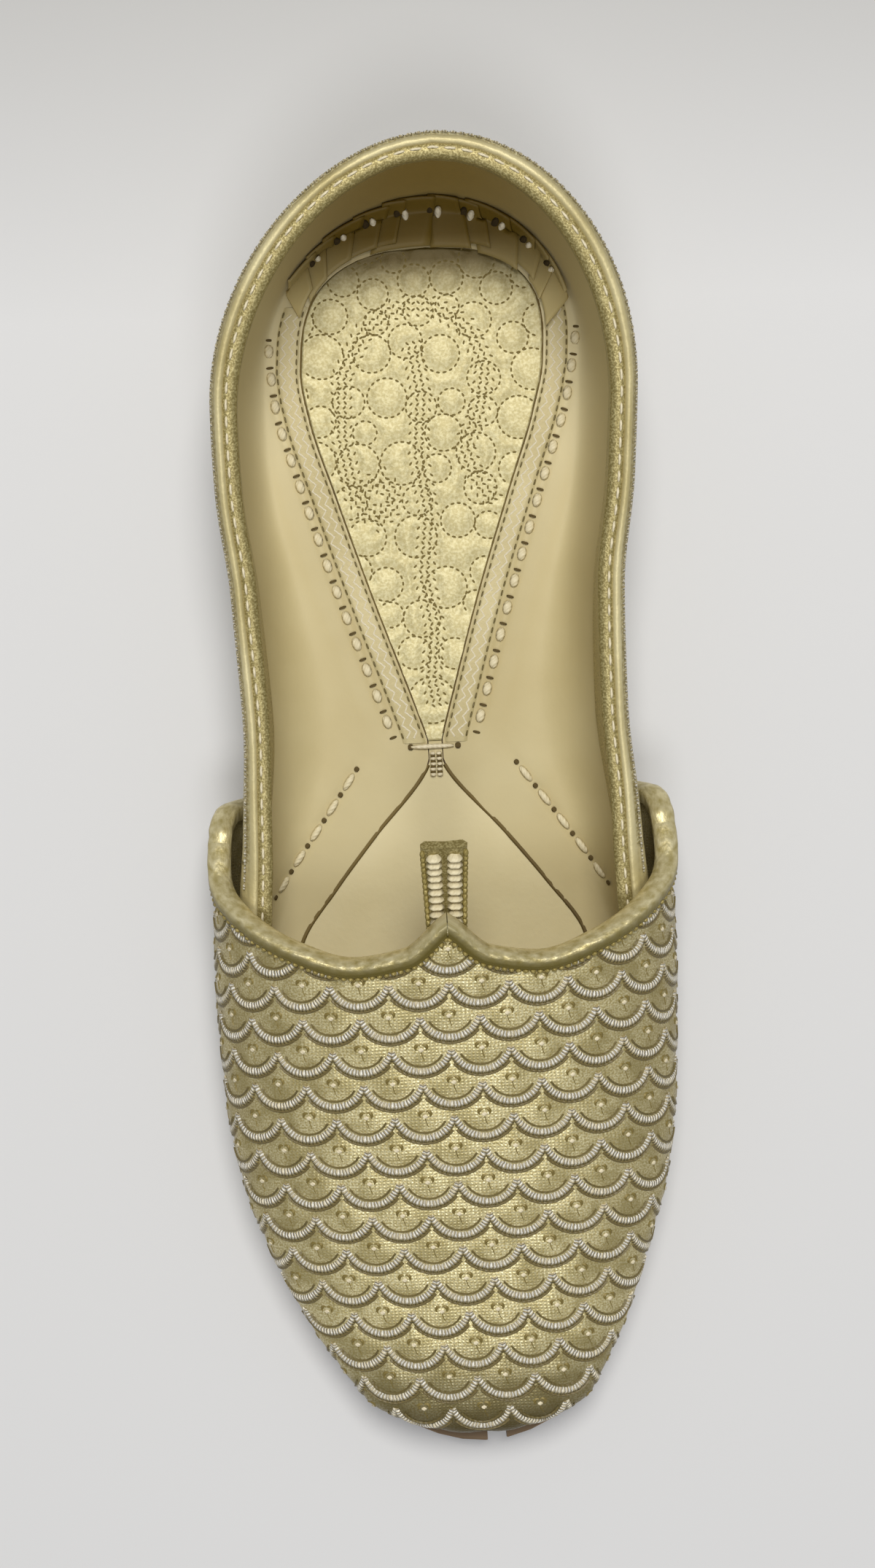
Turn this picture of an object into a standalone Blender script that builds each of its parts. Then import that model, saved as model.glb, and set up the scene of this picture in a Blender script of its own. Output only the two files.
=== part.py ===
# A mojari: a flat slip-on shoe of embroidered gold leather, standing empty on its sole.
# Metres, +Z up. The heel is at +Y and the toe at -Y, and X runs across the shoe.
# A station is a share of the shoe's length, from 0 at the back of the heel to 1 at the toe.
# A level climbs the wall of the last: 0 at its foot, 1 where it is widest, 2 on its ridge.

from bisect import bisect_right
from collections import namedtuple
import math

import bmesh
import bpy
from mathutils import Vector

# Driving sizes of the last
SHOE_LENGTH = 0.250
BALL_WIDTH = 0.0872
HEEL_HEIGHT = 0.052       # top edge of the upper at the back of the heel, above the floor
INSTEP_RISE = 0.0415      # crown above the foot line at the point of the throat
HEEL_BULGE = 0.0077       # how far the heel swells out behind its own foot
HEEL_REACH = 0.075        # how far the heel's wall would lean in on its way to the crown
TOE_BULGE = 0.004
NOSE_REACH = 0.014
TOE_WELT = 0.0065         # sole showing in front of the lining's toe
BOW = 0.004               # sideways bend of the sole's centre line
ARCH_RISE = 0.0013
TOE_SPRING = 0.0035
WING_FLARE = 0.0045       # how far the vamp's wings stand off the quarters

# Thicknesses and clearances
OUTSOLE = 0.004
INSOLE = 0.002
SOCK = 0.0009
WALL = 0.002
VAMP_WALL = 0.0015
LIP = 0.0013              # margin of the upper turned in over the insole
BINDING = 0.001
GAP = 0.0003
FIT = 0.0004              # between the vamp and the upper inside it

# Sizes of edges, trim and cuts
SOLE_BEVEL = 0.0006
SOLE_HEEL_SETBACK = 0.0035
INSOLE_INSET = 0.0006
LIP_HEEL_SETBACK = 0.0143
LIP_TOE_SETBACK = 0.0137
COLLAR_OUTER_TURN = 0.003
COLLAR_INNER_TURN = 0.008
COLLAR_SWELL = 0.0003
ROLL_NOSE = 0.0017        # how far the throat's roll stands out past the vamp's edge
ROLL_SWELL = 0.0007
ROLL_OUTER_TURN = 0.0035
ROLL_INNER_TURN = 0.002
ROLL_HEM = 0.0008         # the roll's thickness at both of its hems
TAB_LENGTH = 0.0205
TAB_ROOT = 0.004          # part of the tab that lies under the throat's point
TAB_ROOT_DROP = 0.0016    # how far the root slopes down under the rolls
TAB_ROOT_WIDTH = 0.0069
TAB_END_WIDTH = 0.0086
TAB_THICKNESS = 0.0026
TAB_ROOT_ANGLE = math.radians(8)
TAB_END_ANGLE = math.radians(44)
NOTCH_WIDTH = 0.0038
NOTCH_DEPTH = 0.0032
NOTCH_OFFSET = 0.0023     # from the middle of the toe

ROUNDNESS = 2.2           # exponent of the oval that the upper wall follows
QUARTER_TURN = math.pi / 2
MERGE = 1e-6
FOOT, WIDEST, RIDGE = 0.0, 1.0, 2.0

# Cross-sections. sole, foot and upper are half-widths as shares of half the ball width.
# widest and crown are heights above the foot line as shares of the instep's rise,
# and bow is a share of the centre line's bend.
Section = namedtuple("Section", "station sole foot upper widest crown bow")
SECTIONS = [
    Section(0.00, 0.733, 0.686, 0.870, 0.650, 2.650, 1.00),
    Section(0.10, 0.767, 0.702, 0.874, 0.640, 2.590, 0.45),
    Section(0.18, 0.774, 0.702, 0.872, 0.630, 2.550, 0.12),
    Section(0.25, 0.740, 0.665, 0.858, 0.614, 2.410, -0.02),
    Section(0.33, 0.640, 0.555, 0.805, 0.585, 2.240, -0.10),
    Section(0.42, 0.565, 0.460, 0.793, 0.545, 1.660, 0.00),
    Section(0.50, 0.705, 0.558, 0.833, 0.506, 1.205, 0.08),
    Section(0.57, 0.837, 0.700, 0.888, 0.417, 1.017, 0.04),
    Section(0.65, 0.916, 0.814, 0.953, 0.313, 0.834, 0.00),
    Section(0.72, 0.921, 0.823, 0.940, 0.267, 0.696, 0.02),
    Section(0.78, 0.888, 0.778, 0.890, 0.239, 0.586, 0.08),
    Section(0.84, 0.818, 0.675, 0.785, 0.210, 0.475, 0.19),
    Section(0.90, 0.700, 0.538, 0.638, 0.181, 0.371, 0.45),
    Section(0.95, 0.545, 0.377, 0.468, 0.164, 0.289, 0.70),
    Section(1.00, 0.410, 0.251, 0.330, 0.145, 0.229, 0.95),
]

# Top edge of the upper, as a share of the heel's height.
Rim = namedtuple("Rim", "station height")
RIM = [
    Rim(0.00, 1.000), Rim(0.04, 0.990), Rim(0.10, 0.950), Rim(0.16, 0.905),
    Rim(0.22, 0.865), Rim(0.30, 0.810), Rim(0.38, 0.765), Rim(0.46, 0.725),
    Rim(0.52, 0.695), Rim(0.56, 0.660), Rim(0.60, 0.620),
]

# Inner edge of the turned-in margin, an hourglass, as a share of half the ball width.
Margin = namedtuple("Margin", "station half")
MARGIN = [
    Margin(0.05, 0.523), Margin(0.10, 0.547), Margin(0.15, 0.551), Margin(0.19, 0.509),
    Margin(0.25, 0.398), Margin(0.32, 0.265), Margin(0.40, 0.116), Margin(0.446, 0.033),
    Margin(0.468, 0.067), Margin(0.52, 0.300), Margin(0.56, 0.481), Margin(0.60, 0.640),
    Margin(0.65, 0.712), Margin(0.70, 0.716), Margin(0.75, 0.681), Margin(0.80, 0.616),
    Margin(0.85, 0.519), Margin(0.90, 0.395), Margin(0.95, 0.256), Margin(1.00, 0.150),
]

# Edge of the vamp. down runs from 0 on the ridge over 1 at the widest line to 2 at the sole.
Throat = namedtuple("Throat", "down station")
THROAT = [
    Throat(0.000, 0.572), Throat(0.095, 0.597), Throat(0.236, 0.603), Throat(0.417, 0.591),
    Throat(0.685, 0.564), Throat(0.890, 0.541), Throat(0.950, 0.528), Throat(1.050, 0.505),
    Throat(1.300, 0.490), Throat(2.000, 0.485),
]

# How much of the wings' flare is left at a station.
Flare = namedtuple("Flare", "station share")
FLARE = [
    Flare(0.470, 1.00), Flare(0.500, 0.95), Flare(0.550, 0.76), Flare(0.570, 0.62),
    Flare(0.600, 0.38), Flare(0.650, 0.04), Flare(0.700, 0.00),
]

# Shares along each wall where its sections stand.
TOE_COLUMNS = [0.91, 0.935, 0.952, 0.965, 0.9758, 0.9856, 0.9933, 0.9983, 1]
UPPER_COLUMNS = [
    0, 0.004, 0.015, 0.035, 0.065, 0.10, 0.14, 0.19, 0.24, 0.29, 0.34, 0.38, 0.41,
    0.432, 0.457, 0.485, 0.52, 0.55, 0.57, 0.585, 0.592, 0.60, 0.62, 0.65, 0.68, 0.71,
    0.745, 0.78, 0.815, 0.85, 0.88, *TOE_COLUMNS,
]
VAMP_SHARES = [0, 0.06, 0.14, 0.24, 0.35, 0.47, 0.60, 0.73, 0.87]
VAMP_COLUMNS = [(share, TOE_COLUMNS[0]) for share in VAMP_SHARES] + [(1, along) for along in TOE_COLUMNS]
ROLL_NOSE_TURNS = (80, 35, -5, -45, -85)      # degrees around the roll's nose
ROLL_ROWS = [
    1.72, 1.58, 1.44, 1.30, 1.18, 1.09, 1.02, 0.96, 0.91, 0.86, 0.80, 0.73, 0.66,
    0.58, 0.50, 0.42, 0.34, 0.27, 0.21, 0.15, 0.10, 0.05,
]
VAMP_ROWS = [0, *reversed(ROLL_ROWS), 2]
EDGE_STEP = 0.004             # how far to both sides the run of the vamp's edge is read
EDGE_SHARE = 0.02             # how far in along the vamp its slope is read
WING_FOOT_LEVEL = 0.3         # roughly where the wings' lower edge lies
LOWER_LEVELS = [0, 0.25, 0.5, 0.75, 1]
UPPER_STEPS = 7
TAB_PROFILE = [
    (-1, -0.2), (-0.86, 0.28), (-0.5, 0.5), (-0.14, 0.28), (0, 0.12), (0.14, 0.28),
    (0.5, 0.5), (0.86, 0.28), (1, -0.2), (0.8, -0.5), (0, -0.4), (-0.8, -0.5),
]
TAB_STEPS = 9
COLLAR_END = 0.55
COLLAR_SPACING = 0.01         # least distance of the collar's last sections along the wall
LINING_OPEN = 0.585           # the front of the opening in the lining starts here
LINING_CLOSED = 0.60          # and reaches the ridge here, under the vamp
HEEL_SOCK_END = 0.438
FORE_SOCK_START = 0.455
HEEL_FLAT = (0.02, 0.30)      # stations where the outsole lies flat on the floor
BALL_FLAT = (0.56, 0.84)

Round = namedtuple("Round", "length power")
HEEL_FOOT_ROUND = Round(0.13, 2.2)
HEEL_WALL_ROUND = Round(0.19, 1.92)
TOE_ROUND = Round(0.035, 2.0)
SOLE_TOE_ROUND = Round(0.05, 2.0)
MARGIN_HEEL_ROUND = Round(0.09, 2.6)
MARGIN_TOE_ROUND = Round(0.06, 2.0)


def curve_through(points):
    # A smooth curve through points that never swings past them.
    places = [place for place, _ in points]
    values = [value for _, value in points]
    steps = [(values[i + 1] - values[i]) / (places[i + 1] - places[i]) for i in range(len(points) - 1)]
    slopes = [steps[0]]
    for before, after in zip(steps, steps[1:]):
        slopes.append(2 * before * after / (before + after) if before * after > 0 else 0.0)
    slopes.append(steps[-1])

    def value_at(place):
        place = min(max(place, places[0]), places[-1])
        i = min(bisect_right(places, place) - 1, len(steps) - 1)
        width = places[i + 1] - places[i]
        share = (place - places[i]) / width
        rest = 1 - share
        return (values[i] * rest * rest * (1 + 2 * share)
                + values[i + 1] * share * share * (1 + 2 * rest)
                + slopes[i] * width * share * rest * rest
                - slopes[i + 1] * width * share * share * rest)

    return value_at


def section_curve(column, size):
    return curve_through([(row.station, getattr(row, column) * size) for row in SECTIONS])


sole_half = section_curve("sole", BALL_WIDTH / 2)
foot_half = section_curve("foot", BALL_WIDTH / 2)
upper_half = section_curve("upper", BALL_WIDTH / 2)
widest_rise = section_curve("widest", INSTEP_RISE)
crown_rise = section_curve("crown", INSTEP_RISE)
centre_line = section_curve("bow", BOW)
rim_height = curve_through([(row.station, row.height * HEEL_HEIGHT) for row in RIM])
margin_half = curve_through([(row.station, row.half * BALL_WIDTH / 2) for row in MARGIN])
throat_station = curve_through([(row.down, row.station) for row in THROAT])
wing_flare = curve_through([(row.station, row.share * WING_FLARE) for row in FLARE])


def sole_rise(station):
    # Height of the sole's underside: flat under heel and ball, arched at the waist.
    waist_start, waist_end, spring_start = HEEL_FLAT[1], BALL_FLAT[0], BALL_FLAT[1]
    if waist_start < station < waist_end:
        share = (station - waist_start) / (waist_end - waist_start)
        return ARCH_RISE * math.sin(share * math.pi) ** 2
    if station > spring_start:
        return TOE_SPRING * ((station - spring_start) / (1 - spring_start)) ** 2
    return 0.0


def foot_line(station):
    return sole_rise(station) + OUTSOLE + GAP + INSOLE + GAP


def station_of(y):
    return (SHOE_LENGTH / 2 - y) / SHOE_LENGTH


def rounded(share, heel, toe):
    # Narrows a width towards the round ends of heel and toe.
    if share < heel.length:
        away = 1 - share / heel.length
        return (1 - away ** heel.power) ** (1 / heel.power)
    if share > 1 - toe.length:
        away = min(1.0, (share - 1 + toe.length) / toe.length)
        return (1 - away ** toe.power) ** (1 / toe.power)
    return 1.0


def reach(level, grow):
    # Where the wall ends at the back of the heel and at the toe, at one level.
    back = SHOE_LENGTH / 2
    tip = -SHOE_LENGTH / 2 + TOE_WELT
    if level <= WIDEST:
        out = math.sin(level * QUARTER_TURN)
        return (back - HEEL_BULGE + (HEEL_BULGE + grow) * out,
                tip + TOE_BULGE - (TOE_BULGE + grow) * out)
    out = max(0.0, math.cos((level - WIDEST) * QUARTER_TURN)) ** (2 / ROUNDNESS)
    return (back - HEEL_REACH + (HEEL_REACH + grow) * out,
            tip + NOSE_REACH - (NOSE_REACH + grow) * out)


def wall_point(along, level, side, grow=0.0, drop=0.0, flared=False):
    # A point on the last's wall, or on a shell that lies grow outside it and drop below its foot.
    back, tip = reach(level, grow)
    y = back + (tip - back) * along
    station = station_of(y)
    foot, widest, crown = foot_half(station), widest_rise(station), crown_rise(station)
    half = upper_half(station) + grow
    flare = wing_flare(station) if flared else 0.0
    heel_round = HEEL_WALL_ROUND
    if level <= WIDEST:
        turn = level * QUARTER_TURN
        out = math.sin(turn)
        x = foot + (half - foot) * out + flare * out * out
        z = widest - (widest + drop) * math.cos(turn)
        heel_round = Round(*(low + (high - low) * out for low, high in zip(HEEL_FOOT_ROUND, HEEL_WALL_ROUND)))
    else:
        turn = (level - WIDEST) * QUARTER_TURN
        x = (half + flare) * max(0.0, math.cos(turn)) ** (2 / ROUNDNESS)
        z = widest + (crown - widest + grow) * math.sin(turn) ** (2 / ROUNDNESS)
    x *= rounded(along, heel_round, TOE_ROUND)
    return Vector((side * x + centre_line(station), y, foot_line(station) + z))


def along_at(station, level, grow):
    back, tip = reach(level, grow)
    return (SHOE_LENGTH / 2 - station * SHOE_LENGTH - back) / (tip - back)


def level_at(along, height, grow=0.0, drop=0.0, flared=False):
    # The level where the wall reaches a height that may vary with the station.
    low, high = FOOT, RIDGE
    for _ in range(40):
        middle = (low + high) / 2
        point = wall_point(along, middle, 1, grow, drop, flared)
        if point.z < height(station_of(point.y)):
            low = middle
        else:
            high = middle
    return high


def top_level(along, grow, drop):
    # The top edge: along the rim, then up over the forepart to the ridge.
    rim = level_at(along, rim_height, grow, drop)
    climb = (along - LINING_OPEN) / (LINING_CLOSED - LINING_OPEN)
    return rim + (RIDGE - rim) * min(max(climb, 0.0), 1.0)


def margin_point(along, side, lift):
    # A point on the inner edge of the margin that is turned in over the insole.
    back = SHOE_LENGTH / 2 - LIP_HEEL_SETBACK
    tip = -SHOE_LENGTH / 2 + LIP_TOE_SETBACK
    y = back + (tip - back) * along
    station = station_of(y)
    half = margin_half(station) * rounded(along, MARGIN_HEEL_ROUND, MARGIN_TOE_ROUND)
    return Vector((side * half + centre_line(station), y, foot_line(station) + lift))


def linear(value):
    value /= 255
    return value / 12.92 if value <= 0.04045 else ((value + 0.055) / 1.055) ** 2.4


def make_material(name, colour, roughness, metallic):
    material = bpy.data.materials.new(name)
    material.use_nodes = True
    shader = material.node_tree.nodes["Principled BSDF"]
    shader.inputs["Base Color"].default_value = (*(linear(part) for part in colour), 1)
    shader.inputs["Roughness"].default_value = roughness
    shader.inputs["Metallic"].default_value = metallic
    return material


def add_piece(name, points, faces, material):
    # One closed solid: points that coincide are merged, and faces are turned outwards.
    mesh = bpy.data.meshes.new(name)
    mesh.from_pydata([tuple(point) for point in points], [], faces)
    form = bmesh.new()
    form.from_mesh(mesh)
    bmesh.ops.remove_doubles(form, verts=form.verts, dist=MERGE)
    bmesh.ops.recalc_face_normals(form, faces=form.faces)
    form.to_mesh(mesh)
    form.free()
    mesh.materials.append(material)
    mesh.shade_smooth()
    mesh.set_sharp_from_angle(angle=math.radians(50))
    piece = bpy.data.objects.new(name, mesh)
    bpy.context.scene.collection.objects.link(piece)
    return piece


def skin(loops, cyclic=False, skip=None):
    # Faces between loops of equal length, each loop closed on itself.
    count = len(loops[0])
    faces = []
    for i in range(len(loops) if cyclic else len(loops) - 1):
        after = (i + 1) % len(loops)
        for j in range(count):
            if skip and skip(i, after, j):
                continue
            beside = (j + 1) % count
            faces.append((i * count + j, i * count + beside, after * count + beside, after * count + j))
    return faces


def ladder(count, first):
    # Closes a loop whose second half runs back beside its first half.
    half = count // 2
    return [(first + j, first + j + 1, first + count - 2 - j, first + count - 1 - j) for j in range(half - 1)]


def both_sides(shares):
    # Goes up one side and back down the other, sharing the middle of heel and toe.
    up = [(share, 1) for share in shares]
    down = [(share, -1) for share in reversed(shares[1:-1])]
    return up + down


def make_upper(material):
    # One hollow shell: quarters, lined forepart and turned-in margin in a single wall.
    columns = both_sides(UPPER_COLUMNS)
    loops = []
    for along, side in columns:
        loop = []
        for grow, drop, lift in ((0.0, 0.0, 0.0), (-WALL, -LIP, LIP)):
            top = top_level(along, grow, drop)
            levels = LOWER_LEVELS + [
                WIDEST + (top - WIDEST) * step / UPPER_STEPS for step in range(1, UPPER_STEPS + 1)]
            run = [margin_point(along, side, lift)]
            run += [wall_point(along, level, side, grow, drop) for level in levels]
            loop += run if grow == 0.0 else reversed(run)
        loops.append(loop)
    rim = len(loops[0]) // 2 - 1

    def under_ridge(i, after, j):
        return j == rim and min(columns[i][0], columns[after][0]) >= LINING_CLOSED

    points = [point for loop in loops for point in loop]
    return add_piece("upper", points, skin(loops, cyclic=True, skip=under_ridge), material)


def vamp_point(down, column, side, grow):
    # A point on the vamp's shell, a share of the way from its edge to a place along the wall.
    share, end = column
    level = RIDGE - down if down <= 1 else WIDEST - (down - 1) * (WIDEST - WING_FOOT_LEVEL)
    along = along_at(throat_station(down), level, grow)
    along += (end - along) * share
    if down > 1:
        bottom = level_at(along, foot_line, grow, grow, True)
        level = WIDEST - (down - 1) * (WIDEST - bottom)
    return wall_point(along, level, side, grow, grow, True)


def make_vamp(material):
    # The embroidered overlay: a cap over the forepart with two wings along the waist.
    around = [(column, -1) for column in VAMP_COLUMNS]
    around += [(column, 1) for column in reversed(VAMP_COLUMNS[:-1])]
    loops = []
    for down in VAMP_ROWS:
        outer = [vamp_point(down, column, side, FIT + VAMP_WALL) for column, side in around]
        inner = [vamp_point(down, column, side, FIT) for column, side in around]
        loops.append(outer + inner[::-1])
    points = [point for loop in loops for point in loop]
    count = len(loops[0])
    faces = skin(loops) + ladder(count, (len(loops) - 1) * count)
    return add_piece("vamp", points, faces, material)


def make_collar_binding(material):
    # A folded strip over the top edge, from one wing round the heel to the other.
    outer, inner = GAP + BINDING, -WALL - GAP - BINDING
    top = GAP + BINDING
    outside = [
        (-COLLAR_OUTER_TURN, outer), (-COLLAR_OUTER_TURN / 2, outer + COLLAR_SWELL), (0, outer),
        (top, GAP - BINDING / 2), (top, inner + 1.5 * BINDING), (0, inner),
        (-COLLAR_INNER_TURN / 2, inner), (-COLLAR_INNER_TURN, inner)]
    channel = [
        (-COLLAR_OUTER_TURN, GAP), (-COLLAR_OUTER_TURN / 2, GAP), (0, GAP), (GAP, GAP),
        (GAP, -WALL - GAP), (0, -WALL - GAP), (-COLLAR_INNER_TURN / 2, -WALL - GAP),
        (-COLLAR_INNER_TURN, -WALL - GAP)]
    end = along_at(COLLAR_END, WIDEST, 0.0)
    shares = [share for share in UPPER_COLUMNS if share < end - COLLAR_SPACING] + [end]
    columns = [(share, -1) for share in reversed(shares[1:])] + [(share, 1) for share in shares]
    loops = []
    for along, side in columns:
        loop = []
        for height, grow in outside + channel[::-1]:
            level = level_at(along, lambda station: rim_height(station) + height, grow)
            loop.append(wall_point(along, level, side, grow))
        loops.append(loop)
    points = [point for loop in loops for point in loop]
    count = len(loops[0])
    faces = skin(loops) + ladder(count, 0) + ladder(count, (len(loops) - 1) * count)
    return add_piece("collar_binding", points, faces, material)


def throat_frame(down, side):
    # The vamp's edge: its place, its run towards the ridge, the way in and the way out.
    grow = FIT + VAMP_WALL
    edge = VAMP_COLUMNS[0]
    place = vamp_point(down, edge, side, grow)
    before = vamp_point(down + EDGE_STEP, edge, side, grow)
    run = (vamp_point(down - EDGE_STEP, edge, side, grow) - before).normalized()
    inward = vamp_point(down, (EDGE_SHARE, 1.0), side, grow) - place
    outward = run.cross(inward).normalized() * side
    inward = (inward - run * inward.dot(run) - outward * inward.dot(outward)).normalized()
    return place, run, inward, outward


def roll_profile():
    # Across the roll, as (distance in from the vamp's edge, height above its outer face).
    middle = -VAMP_WALL / 2
    bulge = VAMP_WALL / 2 + GAP + BINDING
    outside = [(ROLL_OUTER_TURN, GAP + ROLL_HEM)]
    outside.append((ROLL_OUTER_TURN / 2, GAP + BINDING + ROLL_SWELL / 2))
    for degrees in ROLL_NOSE_TURNS:
        turn = math.radians(degrees)
        swell = ROLL_SWELL / 2 if degrees > 0 else 0.0
        outside.append((-ROLL_NOSE * math.cos(turn), middle + (bulge + swell) * math.sin(turn)))
    outside.append((ROLL_INNER_TURN, -VAMP_WALL - GAP - ROLL_HEM))
    channel = [
        (ROLL_OUTER_TURN, GAP), (ROLL_OUTER_TURN / 2, GAP), (0, GAP), (-GAP, GAP), (-GAP, middle),
        (-GAP, -VAMP_WALL - GAP), (0, -VAMP_WALL - GAP), (ROLL_INNER_TURN, -VAMP_WALL - GAP)]
    return outside + channel[::-1]


def make_throat_binding(name, side, material):
    # A padded roll folded over the vamp's edge, mitred where both halves meet at the point.
    profile = roll_profile()
    loops = []
    for down in ROLL_ROWS:
        place, run, inward, outward = throat_frame(down, side)
        loops.append([place + inward * across + outward * height for across, height in profile])
    apex = vamp_point(0.0, VAMP_COLUMNS[0], side, FIT + VAMP_WALL)
    run = (apex - vamp_point(ROLL_ROWS[-1], VAMP_COLUMNS[0], side, FIT + VAMP_WALL)).normalized()
    mitre = apex.x + side * GAP / 2
    loops.append([point + run * ((mitre - point.x) / run.x) for point in loops[-1]])
    points = [point for loop in loops for point in loop]
    count = len(loops[0])
    faces = skin(loops) + ladder(count, 0) + ladder(count, (len(loops) - 1) * count)
    return add_piece(name, points, faces, material)


def make_throat_tab(material):
    # A tongue of two stitched ribs that rises out from under the point of the throat.
    apex = vamp_point(0.0, VAMP_COLUMNS[0], 1, FIT + VAMP_WALL)
    depth = VAMP_WALL + 2 * GAP + BINDING
    below = depth + TAB_THICKNESS / 2 + TAB_ROOT_DROP
    place = Vector((apex.x, apex.y - TAB_ROOT, apex.z - below))
    loops = []
    for step in range(TAB_STEPS + 1):
        share = step / TAB_STEPS
        angle = TAB_ROOT_ANGLE + (TAB_END_ANGLE - TAB_ROOT_ANGLE) * share
        along = Vector((0, math.cos(angle), math.sin(angle)))
        above = Vector((0, -math.sin(angle), math.cos(angle)))
        half = (TAB_ROOT_WIDTH + (TAB_END_WIDTH - TAB_ROOT_WIDTH) * share) / 2
        loops.append([place + Vector((half * across, 0, 0)) + above * (TAB_THICKNESS * height)
                      for across, height in TAB_PROFILE])
        place = place + along * (TAB_LENGTH / TAB_STEPS)
    points = [point for loop in loops for point in loop]
    count = len(TAB_PROFILE)
    last = TAB_STEPS * count
    faces = skin(loops) + [tuple(range(count))[::-1], tuple(range(last, last + count))]
    return add_piece("throat_tab", points, faces, material)


def inset_outline(outline, distance):
    # Moves every side of a closed outline inwards, keeping its corners.
    count = len(outline)
    moved = []
    for i in range(count):
        place = outline[i]
        before = (place - outline[i - 1]).normalized()
        after = (outline[(i + 1) % count] - place).normalized()
        first, second = Vector((before.y, -before.x)), Vector((after.y, -after.x))
        moved.append(place + (first + second) * (distance / (1 + first.dot(second))))
    return moved


def mirror_outline(rows):
    # Rows of (y, half-width) become a loop that runs down the +X side and back up the other.
    down = [Vector((half + centre_line(station_of(y)), y)) for y, half in rows]
    back = [Vector((-half + centre_line(station_of(y)), y)) for y, half in reversed(rows[1:-1])]
    return down + back


def make_plate(name, outline, rings, material):
    # A sheet that follows the sole's rise. rings are (inset, height), from the underside up.
    loops = []
    for inset, height in rings:
        loop = inset_outline(outline, inset) if inset else outline
        rises = [sole_rise(station_of(point.y)) + height for point in loop]
        loops.append([Vector((point.x, point.y, rise)) for point, rise in zip(loop, rises)])
    points = [point for loop in loops for point in loop]
    count = len(outline)
    faces = skin(loops)
    for first in (0, (len(loops) - 1) * count):
        faces.append((first, first + 1, first + count - 1))
        for j in range(1, count // 2 - 1):
            faces.append((first + j, first + j + 1, first + count - j - 1, first + count - j))
        faces.append((first + count // 2 - 1, first + count // 2, first + count // 2 + 1))
    return add_piece(name, points, faces, material)


def sole_outline():
    back = SHOE_LENGTH / 2 - SOLE_HEEL_SETBACK
    tip = -SHOE_LENGTH / 2
    rows = []
    for along in UPPER_COLUMNS:
        y = back + (tip - back) * along
        rows.append((y, sole_half(station_of(y)) * rounded(along, HEEL_FOOT_ROUND, SOLE_TOE_ROUND)))
    return mirror_outline(rows)


def sock_outline(start, end):
    # The part of the hourglass between two stations, with a straight edge where it is cut.
    rows = []
    for along in UPPER_COLUMNS:
        point = margin_point(along, 1, 0.0)
        station = station_of(point.y)
        if start < station < end:
            rows.append((point.y, point.x - centre_line(station)))
    for station, place in ((start, 0), (end, len(rows) + 2)):
        if 0 < station < 1:
            y = SHOE_LENGTH / 2 - station * SHOE_LENGTH
            cut = [(y, 0.0), (y, margin_half(station))]
            rows[place:place] = cut if place == 0 else cut[::-1]
    return mirror_outline(rows)


def cut_notch(sole, insole):
    # A small rectangular nick through both layers of the sole at the toe.
    height = OUTSOLE + INSOLE + TOE_SPRING
    centre = centre_line(1.0) + NOTCH_OFFSET
    bpy.ops.mesh.primitive_cube_add(size=1, location=(centre, -SHOE_LENGTH / 2, height / 2))
    cutter = bpy.context.object
    cutter.name = "notch_cutter"
    cutter.scale = (NOTCH_WIDTH, 2 * NOTCH_DEPTH, 2 * height)
    cutter.hide_render = True
    cutter.display_type = "WIRE"
    for piece in (sole, insole):
        cut = piece.modifiers.new("notch", "BOOLEAN")
        cut.operation = "DIFFERENCE"
        cut.solver = "EXACT"
        cut.object = cutter


def main():
    for thing in list(bpy.data.objects):
        bpy.data.objects.remove(thing)

    sole_leather = make_material("sole_leather", (129, 98, 62), 0.65, 0.0)
    insole_leather = make_material("insole_leather", (150, 118, 78), 0.65, 0.0)
    lining_leather = make_material("lining_leather", (204, 190, 148), 0.42, 0.3)
    quilted_sock = make_material("quilted_sock", (205, 193, 145), 0.35, 0.6)
    embroidery = make_material("embroidery", (190, 168, 118), 0.5, 0.5)
    gold_binding = make_material("gold_binding", (181, 165, 105), 0.28, 0.8)
    stitched_cord = make_material("stitched_cord", (206, 190, 158), 0.55, 0.3)

    outline = sole_outline()
    sole = make_plate("outsole", outline, [
        (SOLE_BEVEL, 0.0), (0.0, SOLE_BEVEL), (0.0, OUTSOLE - SOLE_BEVEL / 2),
        (SOLE_BEVEL / 2, OUTSOLE)], sole_leather)
    insole_base = OUTSOLE + GAP
    insole = make_plate("insole", inset_outline(outline, INSOLE_INSET), [
        (0.0, insole_base), (0.0, insole_base + INSOLE - SOLE_BEVEL / 2),
        (SOLE_BEVEL / 2, insole_base + INSOLE)], insole_leather)
    cut_notch(sole, insole)

    sock_base = insole_base + INSOLE + GAP
    sock_rings = [(GAP, sock_base), (GAP, sock_base + SOCK)]
    make_plate("heel_sock", sock_outline(0.0, HEEL_SOCK_END), sock_rings, quilted_sock)
    make_plate("fore_sock", sock_outline(FORE_SOCK_START, 1.0), sock_rings, lining_leather)

    make_upper(lining_leather)
    make_vamp(embroidery)
    make_collar_binding(gold_binding)
    make_throat_binding("throat_binding_left", -1, gold_binding)
    make_throat_binding("throat_binding_right", 1, gold_binding)
    make_throat_tab(stitched_cord)


main()
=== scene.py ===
# A mojari, a flat slip-on shoe of embroidered gold leather, seen from straight above.
# Metres, +Z up, heel at +Y, toe at -Y. A station is a share of the shoe's length from the heel.
# A level climbs the wall: 0 at its foot, 1 where it is widest, 2 on the ridge.

import math

import bmesh
import bpy
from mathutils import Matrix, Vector
import numpy as np


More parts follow.
